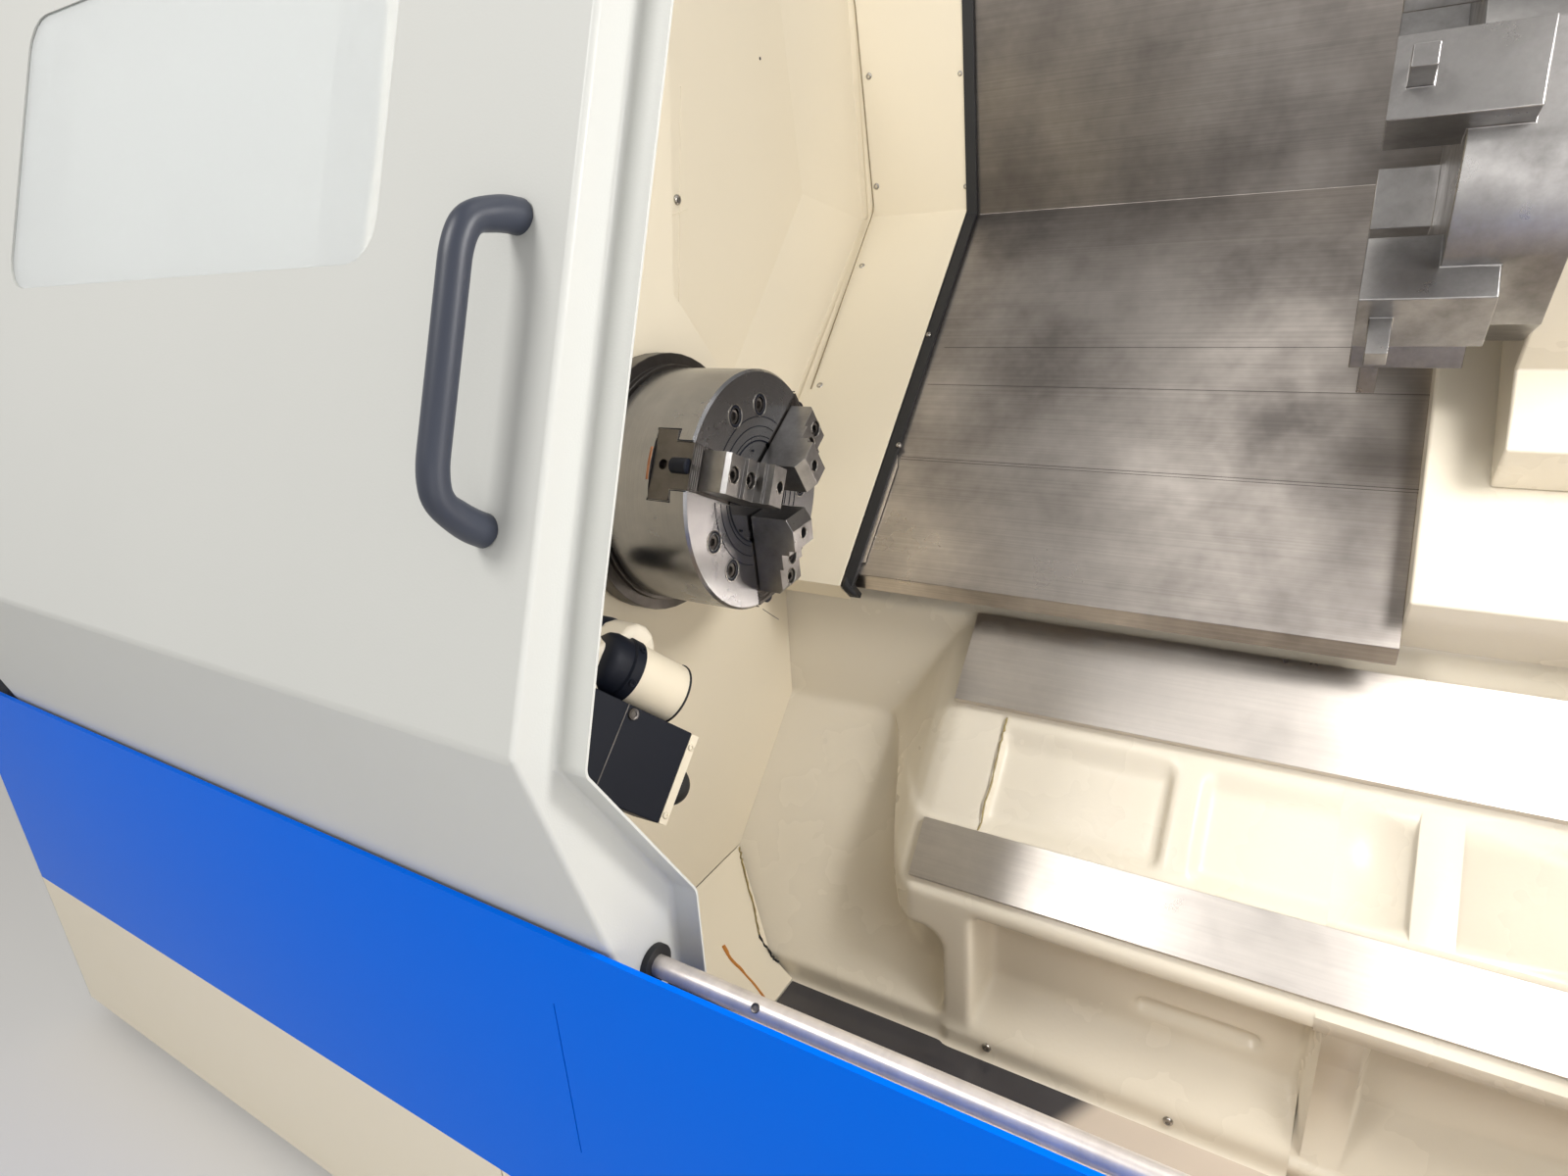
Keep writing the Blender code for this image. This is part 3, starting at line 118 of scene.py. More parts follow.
def wire(tree, source, output, target, entry):
    """Join an output of one node to an input of another."""
    tree.links.new(source.outputs[output], target.inputs[entry])


def lamp(name, place, aim, size, power, tint):
    """A square soft lamp, turned to what it lights."""
    light = bpy.data.lights.new(name, "AREA")
    light.shape = "SQUARE"
    light.size = size
    light.energy = power
    light.color = tint
    made = bpy.data.objects.new(name, light)
    start = CHUCK_FACE + Vector(place)
    towards = CHUCK_FACE + Vector(aim) - start
    made.matrix_world = Matrix.Translation(start) @ towards.to_track_quat("-Z", "Y").to_matrix().to_4x4()
    bpy.context.scene.collection.objects.link(made)


hall = bpy.data.worlds.new("hall")
bpy.context.scene.world = hall
hall.use_nodes = True
sky = hall.node_tree
sky.nodes["Background"].inputs["Color"].default_value = (1.0, 0.985, 0.965, 1.0)
heights = add_node(sky, "ShaderNodeTexCoord")
parted = add_node(sky, "ShaderNodeSeparateXYZ")
wire(sky, heights, "Generated", parted, "Vector")
dimming = add_node(sky, "ShaderNodeMapRange", From_Min=0.0, From_Max=0.9, To_Min=0.76, To_Max=0.34)
wire(sky, parted, "Z", dimming, "Value")
wire(sky, dimming, "Result", sky.nodes["Background"], "Strength")
paths = add_node(sky, "ShaderNodeLightPath")
backdrop = add_node(sky, "ShaderNodeBackground", Strength=1.0, Color=(1.0, 1.0, 1.0, 1.0))
choose = add_node(sky, "ShaderNodeMixShader")
wire(sky, paths, "Is Camera Ray", choose, 0)
wire(sky, sky.nodes["Background"], "Background", choose, 1)
wire(sky, backdrop, "Background", choose, 2)
wire(sky, choose, "Shader", sky.nodes["World Output"], "Surface")
DAYLIGHT = (1.0, 0.98, 0.95)
TUBE_LIGHT = (1.0, 0.98, 0.96)
WARM_LIGHT = (1.0, 0.97, 0.92)
lamp("hall_lamp_left", (-0.7, -2.3, 2.4), (0.2, 0.1, -0.3), 0.9, 50.0, DAYLIGHT)
lamp("hall_lamp_over", (0.7, 0.0, 1.9), (0.2, 0.3, -0.4), 1.0, 5.0, WARM_LIGHT)
lamp("work_lamp", (1.40, -0.22, 0.78), (-0.15, 0.05, -0.40), 0.4, 18.0, TUBE_LIGHT)
lamp("low_fill", (1.25, -0.55, -0.10), (-0.15, 0.05, -0.50), 0.7, 5.0, TUBE_LIGHT)
lamp("front_fill", (1.1, -1.7, -0.1), (0.1, 0.2, -0.4), 0.9, 3.0, DAYLIGHT)

ground = bmesh.new()
bmesh.ops.create_grid(ground, x_segments=1, y_segments=1, size=9.0)
floor_mesh = bpy.data.meshes.new("shop_floor")
ground.to_mesh(floor_mesh)
ground.free()
shop_floor = bpy.data.objects.new("shop_floor", floor_mesh)
bpy.context.scene.collection.objects.link(shop_floor)
floor_paint = bpy.data.materials.new("shop_floor")
floor_paint.use_nodes = True
floor_shader = floor_paint.node_tree.nodes["Principled BSDF"]
floor_shader.inputs["Base Color"].default_value = (0.82, 0.81, 0.79, 1.0)
floor_shader.inputs["Roughness"].default_value = 0.7
floor_mesh.materials.append(floor_paint)

# Sprayed paint
# Castings and covers are sprayed, which leaves a fine orange-peel skin with broad, faint changes of tone and gloss.
# The casting's coat is thick and wet, and the door's is a powder coat with a tighter grain.


def effect_group(name, entries, exits):
    """A shader node group with named sockets, and its input and output nodes."""
    tree = bpy.data.node_groups.new(name, "ShaderNodeTree")
    for label, kind, value in entries:
        tree.interface.new_socket(name=label, in_out="INPUT", socket_type=kind).default_value = value
    for label, kind in exits:
        tree.interface.new_socket(name=label, in_out="OUTPUT", socket_type=kind)
    return tree, tree.nodes.new("NodeGroupInput"), tree.nodes.new("NodeGroupOutput")


COLOUR = "NodeSocketColor"
NUMBER = "NodeSocketFloat"
VECTOR = "NodeSocketVector"
sprayed, given, result = effect_group(
    "sprayed_paint",
    (
        ("Colour", COLOUR, (0.6, 0.54, 0.4, 1.0)),
        ("Shade", COLOUR, (0.5, 0.45, 0.35, 1.0)),
        ("Patch scale", NUMBER, 2.5),
        ("Patch amount", NUMBER, 0.35),
        ("Peel scale", NUMBER, 260.0),
        ("Peel height", NUMBER, 0.12),
        ("Gloss low", NUMBER, 0.28),
        ("Gloss high", NUMBER, 0.45),
    ),
    (("Colour", COLOUR), ("Roughness", NUMBER), ("Normal", VECTOR)),
)
where = add_node(sprayed, "ShaderNodeTexCoord")
patch = add_node(sprayed, "ShaderNodeTexNoise", Detail=4.0, Roughness=0.6)
wire(sprayed, where, "Object", patch, "Vector")
wire(sprayed, given, "Patch scale", patch, "Scale")
amount = add_node(sprayed, "ShaderNodeMath", operation="MULTIPLY")
wire(sprayed, patch, "Fac", amount, 0)
wire(sprayed, given, "Patch amount", amount, 1)
tone = add_node(sprayed, "ShaderNodeMix", data_type="RGBA")
wire(sprayed, amount, "Value", tone, 0)
wire(sprayed, given, "Colour", tone, 6)
wire(sprayed, given, "Shade", tone, 7)
wire(sprayed, tone, 2, result, "Colour")
gloss = add_node(sprayed, "ShaderNodeMapRange")
wire(sprayed, patch, "Fac", gloss, "Value")
wire(sprayed, given, "Gloss low", gloss, "To Min")
wire(sprayed, given, "Gloss high", gloss, "To Max")
wire(sprayed, gloss, "Result", result, "Roughness")
peel = add_node(sprayed, "ShaderNodeTexNoise", Detail=2.0, Roughness=0.5)
wire(sprayed, where, "Object", peel, "Vector")
wire(sprayed, given, "Peel scale", peel, "Scale")
skin = add_node(sprayed, "ShaderNodeBump", Distance=0.0006)
wire(sprayed, peel, "Fac", skin, "Height")
wire(sprayed, given, "Peel height", skin, "Strength")
wire(sprayed, skin, "Normal", result, "Normal")


def finish_of(name, tree, metallic=0.0, reflection=0.5, **values):
    """A material whose colour, roughness and skin come from an effect group."""
    made = bpy.data.materials.new(name)
    made.use_nodes = True
    shader = made.node_tree.nodes["Principled BSDF"]
    shader.inputs["Metallic"].default_value = metallic
    shader.inputs["Specular IOR Level"].default_value = reflection
    effect = made.node_tree.nodes.new("ShaderNodeGroup")
    effect.node_tree = tree
    for key, value in values.items():
        effect.inputs[key.replace("_", " ")].default_value = value
    for output, entry in (("Colour", "Base Color"), ("Roughness", "Roughness"), ("Normal", "Normal")):
        wire(made.node_tree, effect, output, shader, entry)
    return made


def over_colour(material):
    """A material's node tree, effect group and shader, between which one more tone is laid."""
    tree = material.node_tree
    return tree, next(node for node in tree.nodes if node.type == "GROUP"), tree.nodes["Principled BSDF"]


cream = finish_of("cream_paint", sprayed, Colour=linear(234, 224, 202), Shade=linear(222, 211, 188))
casting_cream = finish_of("cast_cream_paint", sprayed, Colour=linear(232, 224, 207), Shade=linear(216, 207, 188),
                          Patch_scale=3.4, Patch_amount=0.35, Peel_scale=120.0, Peel_height=0.30, Gloss_low=0.20,
                          Gloss_high=0.34)
off_white = finish_of("off_white_paint", sprayed, reflection=0.35, Colour=linear(206, 207, 203),
                      Shade=linear(194, 195, 191), Peel_scale=420.0, Peel_height=0.22, Gloss_low=0.32,
                      Gloss_high=0.42)
blue = finish_of("blue_paint", sprayed, reflection=0.12, Colour=linear(0, 106, 232), Shade=linear(0, 98, 222),
                 Peel_scale=300.0, Peel_height=0.04, Gloss_low=0.10, Gloss_high=0.18)
blue.node_tree.nodes["Principled BSDF"].inputs["IOR"].default_value = 1.2
anodised = finish_of("black_anodised", sprayed, reflection=0.22, Colour=linear(20, 24, 35), Shade=linear(13, 16, 25),
                     Peel_scale=900.0, Peel_height=0.2, Gloss_low=0.42, Gloss_high=0.6)
rubber = finish_of("black_rubber", sprayed, Colour=linear(26, 27, 30), Shade=linear(44, 42, 40),
                   Patch_scale=20.0, Peel_scale=600.0, Peel_height=0.2, Gloss_low=0.45, Gloss_high=0.7)
handle_coat = finish_of("handle_coat", sprayed, Colour=linear(56, 61, 74), Shade=linear(47, 51, 63),
                        Patch_scale=9.0, Peel_scale=900.0, Peel_height=0.15, Gloss_low=0.34, Gloss_high=0.48)
stop_red = finish_of("stop_red", sprayed, Colour=linear(196, 22, 20), Shade=linear(160, 14, 14),
                     Peel_scale=300.0, Peel_height=0.05, Gloss_low=0.2, Gloss_high=0.3)
# The pan's base colour is dark painted shade; the pan's own pale paint is mixed in over its right part below.
pan_paint = finish_of("pan_paint", sprayed, Colour=linear(78, 76, 80), Shade=linear(52, 52, 56),
                      Patch_scale=5.0, Patch_amount=1.0, Peel_scale=80.0, Gloss_low=0.06, Gloss_high=0.25)

sealant = finish_of("old_sealant", sprayed, Colour=linear(178, 160, 100), Shade=linear(96, 84, 56),
                    Patch_scale=60.0, Patch_amount=1.0, Peel_scale=500.0, Peel_height=0.4)
rust = finish_of("rust_streak", sprayed, Colour=linear(214, 142, 48), Shade=linear(168, 100, 36),
                 Patch_scale=90.0, Patch_amount=1.0, Peel_scale=700.0, Peel_height=0.3, Gloss_low=0.5, Gloss_high=0.8)
seam_tone = finish_of("seam_shadow", sprayed, Colour=linear(158, 144, 116), Shade=linear(120, 108, 84),
                      Patch_scale=14.0, Patch_amount=0.8, Peel_scale=300.0)

# Painted shade: the pan's left part keeps a dark colour that stands for shade, ending at a slanting line; past it the
# sheet has the pan's own pale paint.
pan_tree, pan_effect, pan_shader = over_colour(pan_paint)
spot_on_pan = add_node(pan_tree, "ShaderNodeTexCoord")
leaning = add_node(pan_tree, "ShaderNodeVectorMath", operation="DOT_PRODUCT")
leaning.inputs[1].default_value = (1.0, -0.56, 0.0)
wire(pan_tree, spot_on_pan, "Object", leaning, 0)
edge_of_painted_shade = add_node(pan_tree, "ShaderNodeMapRange", interpolation_type="SMOOTHSTEP", From_Min=0.280,
                       From_Max=0.330)
wire(pan_tree, leaning, "Value", edge_of_painted_shade, "Value")
pale_beyond_shade = add_node(pan_tree, "ShaderNodeMix", data_type="RGBA")
pale_beyond_shade.inputs[7].default_value = linear(208, 195, 181)
wire(pan_tree, edge_of_painted_shade, "Result", pale_beyond_shade, 0)
wire(pan_tree, pan_effect, "Colour", pale_beyond_shade, 6)
wire(pan_tree, pale_beyond_shade, 2, pan_shader, "Base Color")

# Bare steel
# The way cover, the ways, the chuck and its jaws are bare steel. Fine lines run along the machine or round the
# spindle, and oil, hands and chips have clouded it.


def steel_group(name, radial):
    """Clouded bare steel with fine lines, along the machine or turned round the spindle's axis."""
    tree, inward, outward = effect_group(
        name,
        (
            ("Colour", COLOUR, (0.5, 0.49, 0.48, 1.0)),
            ("Shade", COLOUR, (0.22, 0.21, 0.2, 1.0)),
            ("Line scale", VECTOR, (1.5, 260.0, 260.0)),
            ("Line height", NUMBER, 0.12),
            ("Line tone", NUMBER, 0.10),
            ("Cloud scale", NUMBER, 3.0),
            ("Cloud amount", NUMBER, 0.6),
            ("Gloss low", NUMBER, 0.22),
            ("Gloss high", NUMBER, 0.42),
        ),
        (("Colour", COLOUR), ("Roughness", NUMBER), ("Normal", VECTOR)),
    )
    place = add_node(tree, "ShaderNodeTexCoord")
    stretch = add_node(tree, "ShaderNodeVectorMath", operation="MULTIPLY")
    wire(tree, inward, "Line scale", stretch, 1)
    if radial:
        centred = add_node(tree, "ShaderNodeVectorMath", operation="SUBTRACT")
        wire(tree, place, "Object", centred, 0)
        centred.inputs[1].default_value = CHUCK_FACE
        flat = add_node(tree, "ShaderNodeVectorMath", operation="MULTIPLY")
        wire(tree, centred, "Vector", flat, 0)
        flat.inputs[1].default_value = (0.0, 1.0, 1.0)
        radius = add_node(tree, "ShaderNodeVectorMath", operation="LENGTH")
        wire(tree, flat, "Vector", radius, 0)
        apart = add_node(tree, "ShaderNodeSeparateXYZ")
        wire(tree, centred, "Vector", apart, "Vector")
        polar = add_node(tree, "ShaderNodeCombineXYZ")
        wire(tree, apart, "X", polar, "X")
        wire(tree, radius, "Value", polar, "Y")
        wire(tree, polar, "Vector", stretch, 0)
    else:
        wire(tree, place, "Object", stretch, 0)
    lines = add_node(tree, "ShaderNodeTexNoise", Scale=1.0, Detail=3.0, Roughness=0.6)
    wire(tree, stretch, "Vector", lines, "Vector")
    cloud = add_node(tree, "ShaderNodeTexNoise", Detail=5.0, Roughness=0.62)
    wire(tree, place, "Object", cloud, "Vector")
    wire(tree, inward, "Cloud scale", cloud, "Scale")
    spread = add_node(tree, "ShaderNodeMapRange", From_Min=0.35, From_Max=0.7)
    wire(tree, cloud, "Fac", spread, "Value")
    much = add_node(tree, "ShaderNodeMath", operation="MULTIPLY", use_clamp=True)
    wire(tree, spread, "Result", much, 0)
    wire(tree, inward, "Cloud amount", much, 1)
    mixed = add_node(tree, "ShaderNodeMix", data_type="RGBA")
    wire(tree, much, "Value", mixed, 0)
    wire(tree, inward, "Colour", mixed, 6)
    wire(tree, inward, "Shade", mixed, 7)
    centre = add_node(tree, "ShaderNodeMath", operation="SUBTRACT")
    wire(tree, lines, "Fac", centre, 0)
    centre.inputs[1].default_value = 0.5
    fine = add_node(tree, "ShaderNodeMath", operation="MULTIPLY_ADD")
    wire(tree, centre, "Value", fine, 0)
    wire(tree, inward, "Line tone", fine, 1)
    fine.inputs[2].default_value = 1.0
    lined = add_node(tree, "ShaderNodeVectorMath", operation="SCALE")
    wire(tree, mixed, 2, lined, 0)
    wire(tree, fine, "Value", lined, "Scale")
    wire(tree, lined, "Vector", outward, "Colour")
    smooth = add_node(tree, "ShaderNodeMapRange", From_Min=0.3, From_Max=0.75)
    wire(tree, cloud, "Fac", smooth, "Value")
    wire(tree, inward, "Gloss low", smooth, "To Min")
    wire(tree, inward, "Gloss high", smooth, "To Max")
    wire(tree, smooth, "Result", outward, "Roughness")
    scored = add_node(tree, "ShaderNodeBump", Distance=0.0002)
    wire(tree, lines, "Fac", scored, "Height")
    wire(tree, inward, "Line height", scored, "Strength")
    wire(tree, scored, "Normal", outward, "Normal")
    return tree


brushed = steel_group("brushed_steel", False)
turned = steel_group("turned_steel", True)
cover_steel = finish_of("cover_steel", brushed, 1.0, Colour=linear(208, 200, 193), Shade=linear(116, 111, 108),
                        Line_tone=0.5, Cloud_scale=2.6, Cloud_amount=0.9, Gloss_low=0.24, Gloss_high=0.46)
way_steel = finish_of("way_steel", brushed, 1.0, Colour=linear(226, 219, 212), Shade=linear(186, 179, 172),
                      Line_tone=0.25, Line_scale=(6.0, 180.0, 180.0), Cloud_scale=5.0, Gloss_low=0.26,
                      Gloss_high=0.42)
chuck_steel = finish_of("chuck_steel", turned, 1.0, Colour=linear(152, 152, 154), Shade=linear(98, 98, 101),
                        Line_tone=0.35, Line_scale=(500.0, 500.0, 1.0), Cloud_scale=9.0, Cloud_amount=0.35,
                        Gloss_low=0.18, Gloss_high=0.32)
jaw_steel = finish_of("jaw_steel", brushed, 1.0, Colour=linear(160, 158, 157), Shade=linear(96, 94, 93),
                       Line_tone=0.12, Line_height=0.02, Line_scale=(160.0, 160.0, 160.0), Cloud_scale=18.0,
                       Gloss_low=0.26, Gloss_high=0.42)
rail_steel = finish_of("rail_steel", brushed, 0.55, Colour=linear(234, 226, 219), Shade=linear(186, 176, 168),
                        Line_tone=0.4, Line_scale=(60.0, 8.0, 8.0), Cloud_scale=14.0, Gloss_low=0.30, Gloss_high=0.46)
dark_steel = finish_of("dark_steel", brushed, 1.0, Colour=linear(104, 100, 97), Shade=linear(52, 50, 48),
                       Cloud_scale=12.0, Gloss_low=0.3, Gloss_high=0.5)
copper = finish_of("worn_bronze", brushed, 0.6, Colour=linear(176, 122, 86), Shade=linear(120, 76, 52),
                   Cloud_scale=60.0, Gloss_low=0.3, Gloss_high=0.5)
screw_steel = finish_of("screw_steel", brushed, 1.0, Colour=linear(188, 184, 178), Shade=linear(120, 116, 112),
                        Cloud_scale=60.0, Line_scale=(300.0, 300.0, 300.0), Gloss_low=0.2, Gloss_high=0.4)

# Painted shade: the upper, leaning sheets of the way covers are coloured darker than the slanted ones, for the less
# light they catch.
lean_shade_tree, lean_shade_effect, lean_shade_shader = over_colour(cover_steel)
lean_shade_place = add_node(lean_shade_tree, "ShaderNodeTexCoord")
lean_shade_height = add_node(lean_shade_tree, "ShaderNodeSeparateXYZ")
wire(lean_shade_tree, lean_shade_place, "Object", lean_shade_height, "Vector")
lean_shade = add_node(lean_shade_tree, "ShaderNodeMapRange", interpolation_type="SMOOTHSTEP", From_Min=1.45, From_Max=1.68,
                To_Min=1.0, To_Max=0.60)
wire(lean_shade_tree, lean_shade_height, "Z", lean_shade, "Value")
lean_shaded = add_node(lean_shade_tree, "ShaderNodeVectorMath", operation="SCALE")
wire(lean_shade_tree, lean_shade_effect, "Colour", lean_shaded, 0)
wire(lean_shade_tree, lean_shade, "Result", lean_shaded, "Scale")
wire(lean_shade_tree, lean_shaded, "Vector", lean_shade_shader, "Base Color")

# Bed casting
# Grey iron, cast in one piece and painted, so every inner and outer corner has the mould's soft radius. The part
# of it that the work area shows is rounded here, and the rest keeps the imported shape.


def body_of(name):
    """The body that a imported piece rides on."""
    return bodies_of(frame["nodes"][name])[0]


def place_piece(name, work, paint, nodes, body=None, smooth=40.0, closed=True):
    """Make a finished piece from a mesh, give it its paint, hide the imported pieces it replaces and set the body it
    rides on.
    """
    mesh = bpy.data.meshes.new(name)
    if closed:
        bmesh.ops.recalc_face_normals(work, faces=work.faces)
    work.to_mesh(mesh)
    work.free()
    mesh.materials.append(paint)
    mesh.shade_smooth()
    mesh.set_sharp_from_angle(angle=radians(smooth))
    made = bpy.data.objects.new(name, mesh)
    bpy.context.scene.collection.objects.link(made)
    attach(made, body or body_of(nodes[0]))
    if nodes:
        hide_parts(*nodes)
    return made


def node_mesh(name):
    """A mesh to work on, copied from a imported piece, with its flat faces made whole."""
    work = bmesh.new()
    work.from_mesh(frame["nodes"][name].data)
    bmesh.ops.remove_doubles(work, verts=work.verts, dist=0.00002)
    bmesh.ops.dissolve_limit(work, angle_limit=radians(0.6), verts=work.verts, edges=work.edges)
    return work


def cut_away(work, spot, normal, fill):
    """Cut the mesh by a plane and remove what lies on the normal's side."""
    shape = work.verts[:] + work.edges[:] + work.faces[:]
    cut = bmesh.ops.bisect_plane(work, geom=shape, plane_co=CHUCK_FACE + Vector(spot), plane_no=normal,
                                 clear_outer=True)
    if fill:
        edges = [item for item in cut["geom_cut"] if isinstance(item, bmesh.types.BMEdge)]
        bmesh.ops.holes_fill(work, edges=edges, sides=0)


def rounded_solid(work, size, passes):
    """Rebuild a closed mesh from small even faces and soften its corners."""
    mesh = bpy.data.meshes.new("work")
    work.to_mesh(mesh)
    work.free()
    item = bpy.data.objects.new("work", mesh)
    bpy.context.scene.collection.objects.link(item)
    change = item.modifiers.new("remesh", "REMESH")
    change.mode = "VOXEL"
    change.voxel_size = size
    change.adaptivity = 0.0
    made = bpy.data.meshes.new_from_object(item.evaluated_get(bpy.context.evaluated_depsgraph_get()))
    bpy.data.objects.remove(item)
    work = bmesh.new()
    work.from_mesh(made)
    for step in range(passes):
        bmesh.ops.smooth_vert(work, verts=work.verts, factor=0.5, use_axis_x=True, use_axis_y=True, use_axis_z=True)
    return work


SEEN = ((-0.260, 0.860), (-0.020, 0.640), (-1.040, -0.300))
MARGIN = 0.030
VOXEL = 0.0056
planes = []
for axis, (low, high) in enumerate(SEEN):
    normal = Vector((0.0, 0.0, 0.0))
    normal[axis] = 1.0
    planes += [(normal * low, -normal), (normal * high, normal)]
chunk = node_mesh("bed_casting")
for spot, normal in planes:
    cut_away(chunk, spot + normal * MARGIN, normal, True)
chunk = rounded_solid(chunk, VOXEL, 7)
for spot, normal in planes:
    cut_away(chunk, spot, normal, False)
place_piece("bed_inside", chunk, casting_cream, ["bed_casting"], smooth=70.0, closed=False)

rest = node_mesh("bed_casting")
for spot, normal in planes:
    shape = rest.verts[:] + rest.edges[:] + rest.faces[:]
    bmesh.ops.bisect_plane(rest, geom=shape, plane_co=CHUCK_FACE + spot, plane_no=normal)
inner = []
for face in rest.faces:
    middle = face.calc_center_median() - CHUCK_FACE
    if all(low < middle[axis] < high for axis, (low, high) in enumerate(SEEN)):
        inner.append(face)
bmesh.ops.delete(rest, geom=inner, context="FACES")
place_piece("bed_outside", rest, casting_cream, ["bed_casting"], closed=False)

# Headstock, spindle and what they turn in
# The headstock is cast and painted as the bed is. The spindle's cartridge shows as a cream ring in the end wall,
# and the turned steel behind it stays inside.


def softened(name, paint, width=0.001, segments=2, smooth=40.0, angle=30.0):
    """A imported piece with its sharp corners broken, as filing or a press leaves them."""
    made = place_piece(name + "_finished", node_mesh(name), paint, [name], smooth=smooth)
    edge = made.modifiers.new("corners", "BEVEL")
    edge.width = width
    edge.segments = segments
    edge.limit_method = "ANGLE"
    edge.angle_limit = radians(angle)
    even = made.modifiers.new("even", "WEIGHTED_NORMAL")
    even.keep_sharp = True
    return made


softened("headstock_casting", casting_cream, 0.006, 3)
softened("spindle_housing", casting_cream, 0.002, 2)
for name in ("spindle", "spindle_bearing_front", "spindle_bearing_rear", "chuck_cylinder"):
    softened(name, chuck_steel, 0.0008)
for name in ("motor_stator", "motor_rotor"):
    softened(name, dark_steel, 0.0010)

# Chuck
# A ground steel body on a dark adapter ring. Its face has a turned centre sleeve, fine rings and six socket
# screws, and three sliding jaws carry stepped hard jaws on two screws each.


def join_rings(work, rings):
    """Skin a row of equal rings of points and close both ends."""
    steps = len(rings[0])
    for low, high in zip(rings, rings[1:]):
        for step in range(steps):
            after = (step + 1) % steps
            work.faces.new((low[step], low[after], high[after], high[step]))
    work.faces.new(list(reversed(rings[0])))
    work.faces.new(rings[-1])


def tube(work, path, radii, steps=12):
    """A round bead along a line of points, with its own radius at each point and closed ends."""
    points = [CHUCK_FACE + Vector(spot) for spot in path]
    side = None
    rings = []
    for index, point in enumerate(points):
        run = (points[min(index + 1, len(points) - 1)] - points[max(index - 1, 0)]).normalized()
        if side is None:
            side = run.orthogonal().normalized()
        side = (side - run * side.dot(run)).normalized()
        other = run.cross(side)
        reach = radii[index] if isinstance(radii, (list, tuple)) else radii
        rings.append([work.verts.new(point + (side * cos(2 * pi * step / steps) + other * sin(2 * pi * step / steps))
                                     * reach) for step in range(steps)])
    join_rings(work, rings)


def bead(name, path, radii, steps, paint, body):
    """A piece made of one round bead."""
    work = bmesh.new()
    tube(work, path, radii, steps)
    return place_piece(name, work, paint, [], body)


def circle(middle, reach):
    """A closed line of points round a place, facing along the spindle."""
    return [middle + Vector((0.0, reach * cos(pi * a / 14), reach * sin(pi * a / 14))) for a in range(29)]


def socket_screw(radius, height, hexagon):
    """A socket cap screw's head: its side broken at the top, and a six-sided recess."""
    work = bmesh.new()
    steps = 24
    levels = [(radius, 0.0), (radius, height - radius * 0.12), (radius * 0.90, height), (hexagon * 1.22, height),
              (hexagon * 1.10, height - radius * 0.04)]
    rings = []
    for reach, rise in levels:
        rings.append([work.verts.new((reach * cos(2 * pi * step / steps), reach * sin(2 * pi * step / steps), rise))
                      for step in range(steps)])
    for depth in (height - radius * 0.04, height * 0.45):
        ring = []
        for step in range(steps):
            angle = 2 * pi * step / steps
            corner = (angle + pi / 6) % (pi / 3) - pi / 6
            reach = hexagon * cos(pi / 6) / cos(corner)
            ring.append(work.verts.new((reach * cos(angle), reach * sin(angle), depth)))
        rings.append(ring)
    join_rings(work, rings)
    return work


def set_down(work, spots, facing, make):
    """Add a copy of a small part at each spot, its own Z axis turned to where the spot faces."""
    for spot, towards in zip(spots, facing):
        small = make()
        facing_out = Vector(towards).to_track_quat("Z", "Y").to_matrix().to_4x4()
        small.transform(Matrix.Translation(CHUCK_FACE + Vector(spot)) @ facing_out)
        mesh = bpy.data.meshes.new("small")
        small.to_mesh(mesh)
        small.free()
        work.from_mesh(mesh)
        bpy.data.meshes.remove(mesh)


def set_piece(name, spots, facing, make, paint, body, smooth=40.0):
    """A piece made of copies of one small part."""
    work = bmesh.new()
    set_down(work, spots, facing, make)
    return place_piece(name, work, paint, [], body, smooth)


def screws(name, spots, radius, height, hexagon, body):
    """Socket screws that face along the spindle, as one piece."""
    return set_piece(name, spots, [FORWARD] * len(spots), lambda: socket_screw(radius, height, hexagon), dark_steel,
                     body, 35.0)


CHUCK_RADIUS = 0.1905
BOLT_CIRCLE = 0.136
JAW_TURNS = (35.0, 155.0, 275.0)
JAW_HALF = 0.0385
FORWARD = (1.0, 0.0, 0.0)
chuck = body_of("chuck_body")


def from_axis(ahead_by, turn, reach):
    """A place told by its distance before the chuck's face, its turn and its distance from the axis."""
    return Vector((ahead_by, reach * cos(turn), reach * sin(turn)))


rings = bmesh.new()
for reach, width in ((0.0805, 0.0013), (0.0875, 0.0008), (0.1030, 0.0008), (0.1180, 0.0008)):
    clear_of_jaw = atan(JAW_HALF / reach) + radians(1.0)
    for turn in JAW_TURNS:
        first = radians(turn) + clear_of_jaw
        last = radians(turn + 120.0) - clear_of_jaw
        arc = [first + (last - first) * step / 24 for step in range(25)]
        tube(rings, [from_axis(0.0001, angle, reach) for angle in arc], width, 6)
for y, z in ((-0.0038, 0.0666), (-0.0528, -0.0502)):
    tube(rings, [(-0.0010, y, z), (0.0004, y, z)], 0.0020, 10)
place_piece("chuck_rings", rings, anodised, [], chuck)
softened("chuck_body", chuck_steel, 0.0013, 2, 30.0)
softened("chuck_adapter", dark_steel, 0.001)
bolt_turns = [radians(turn + side) for turn in JAW_TURNS for side in (45.0, 75.0)]
screws("chuck_screws", [from_axis(-0.0120, turn, BOLT_CIRCLE) for turn in bolt_turns], 0.0116, 0.0095, 0.0066, chuck)
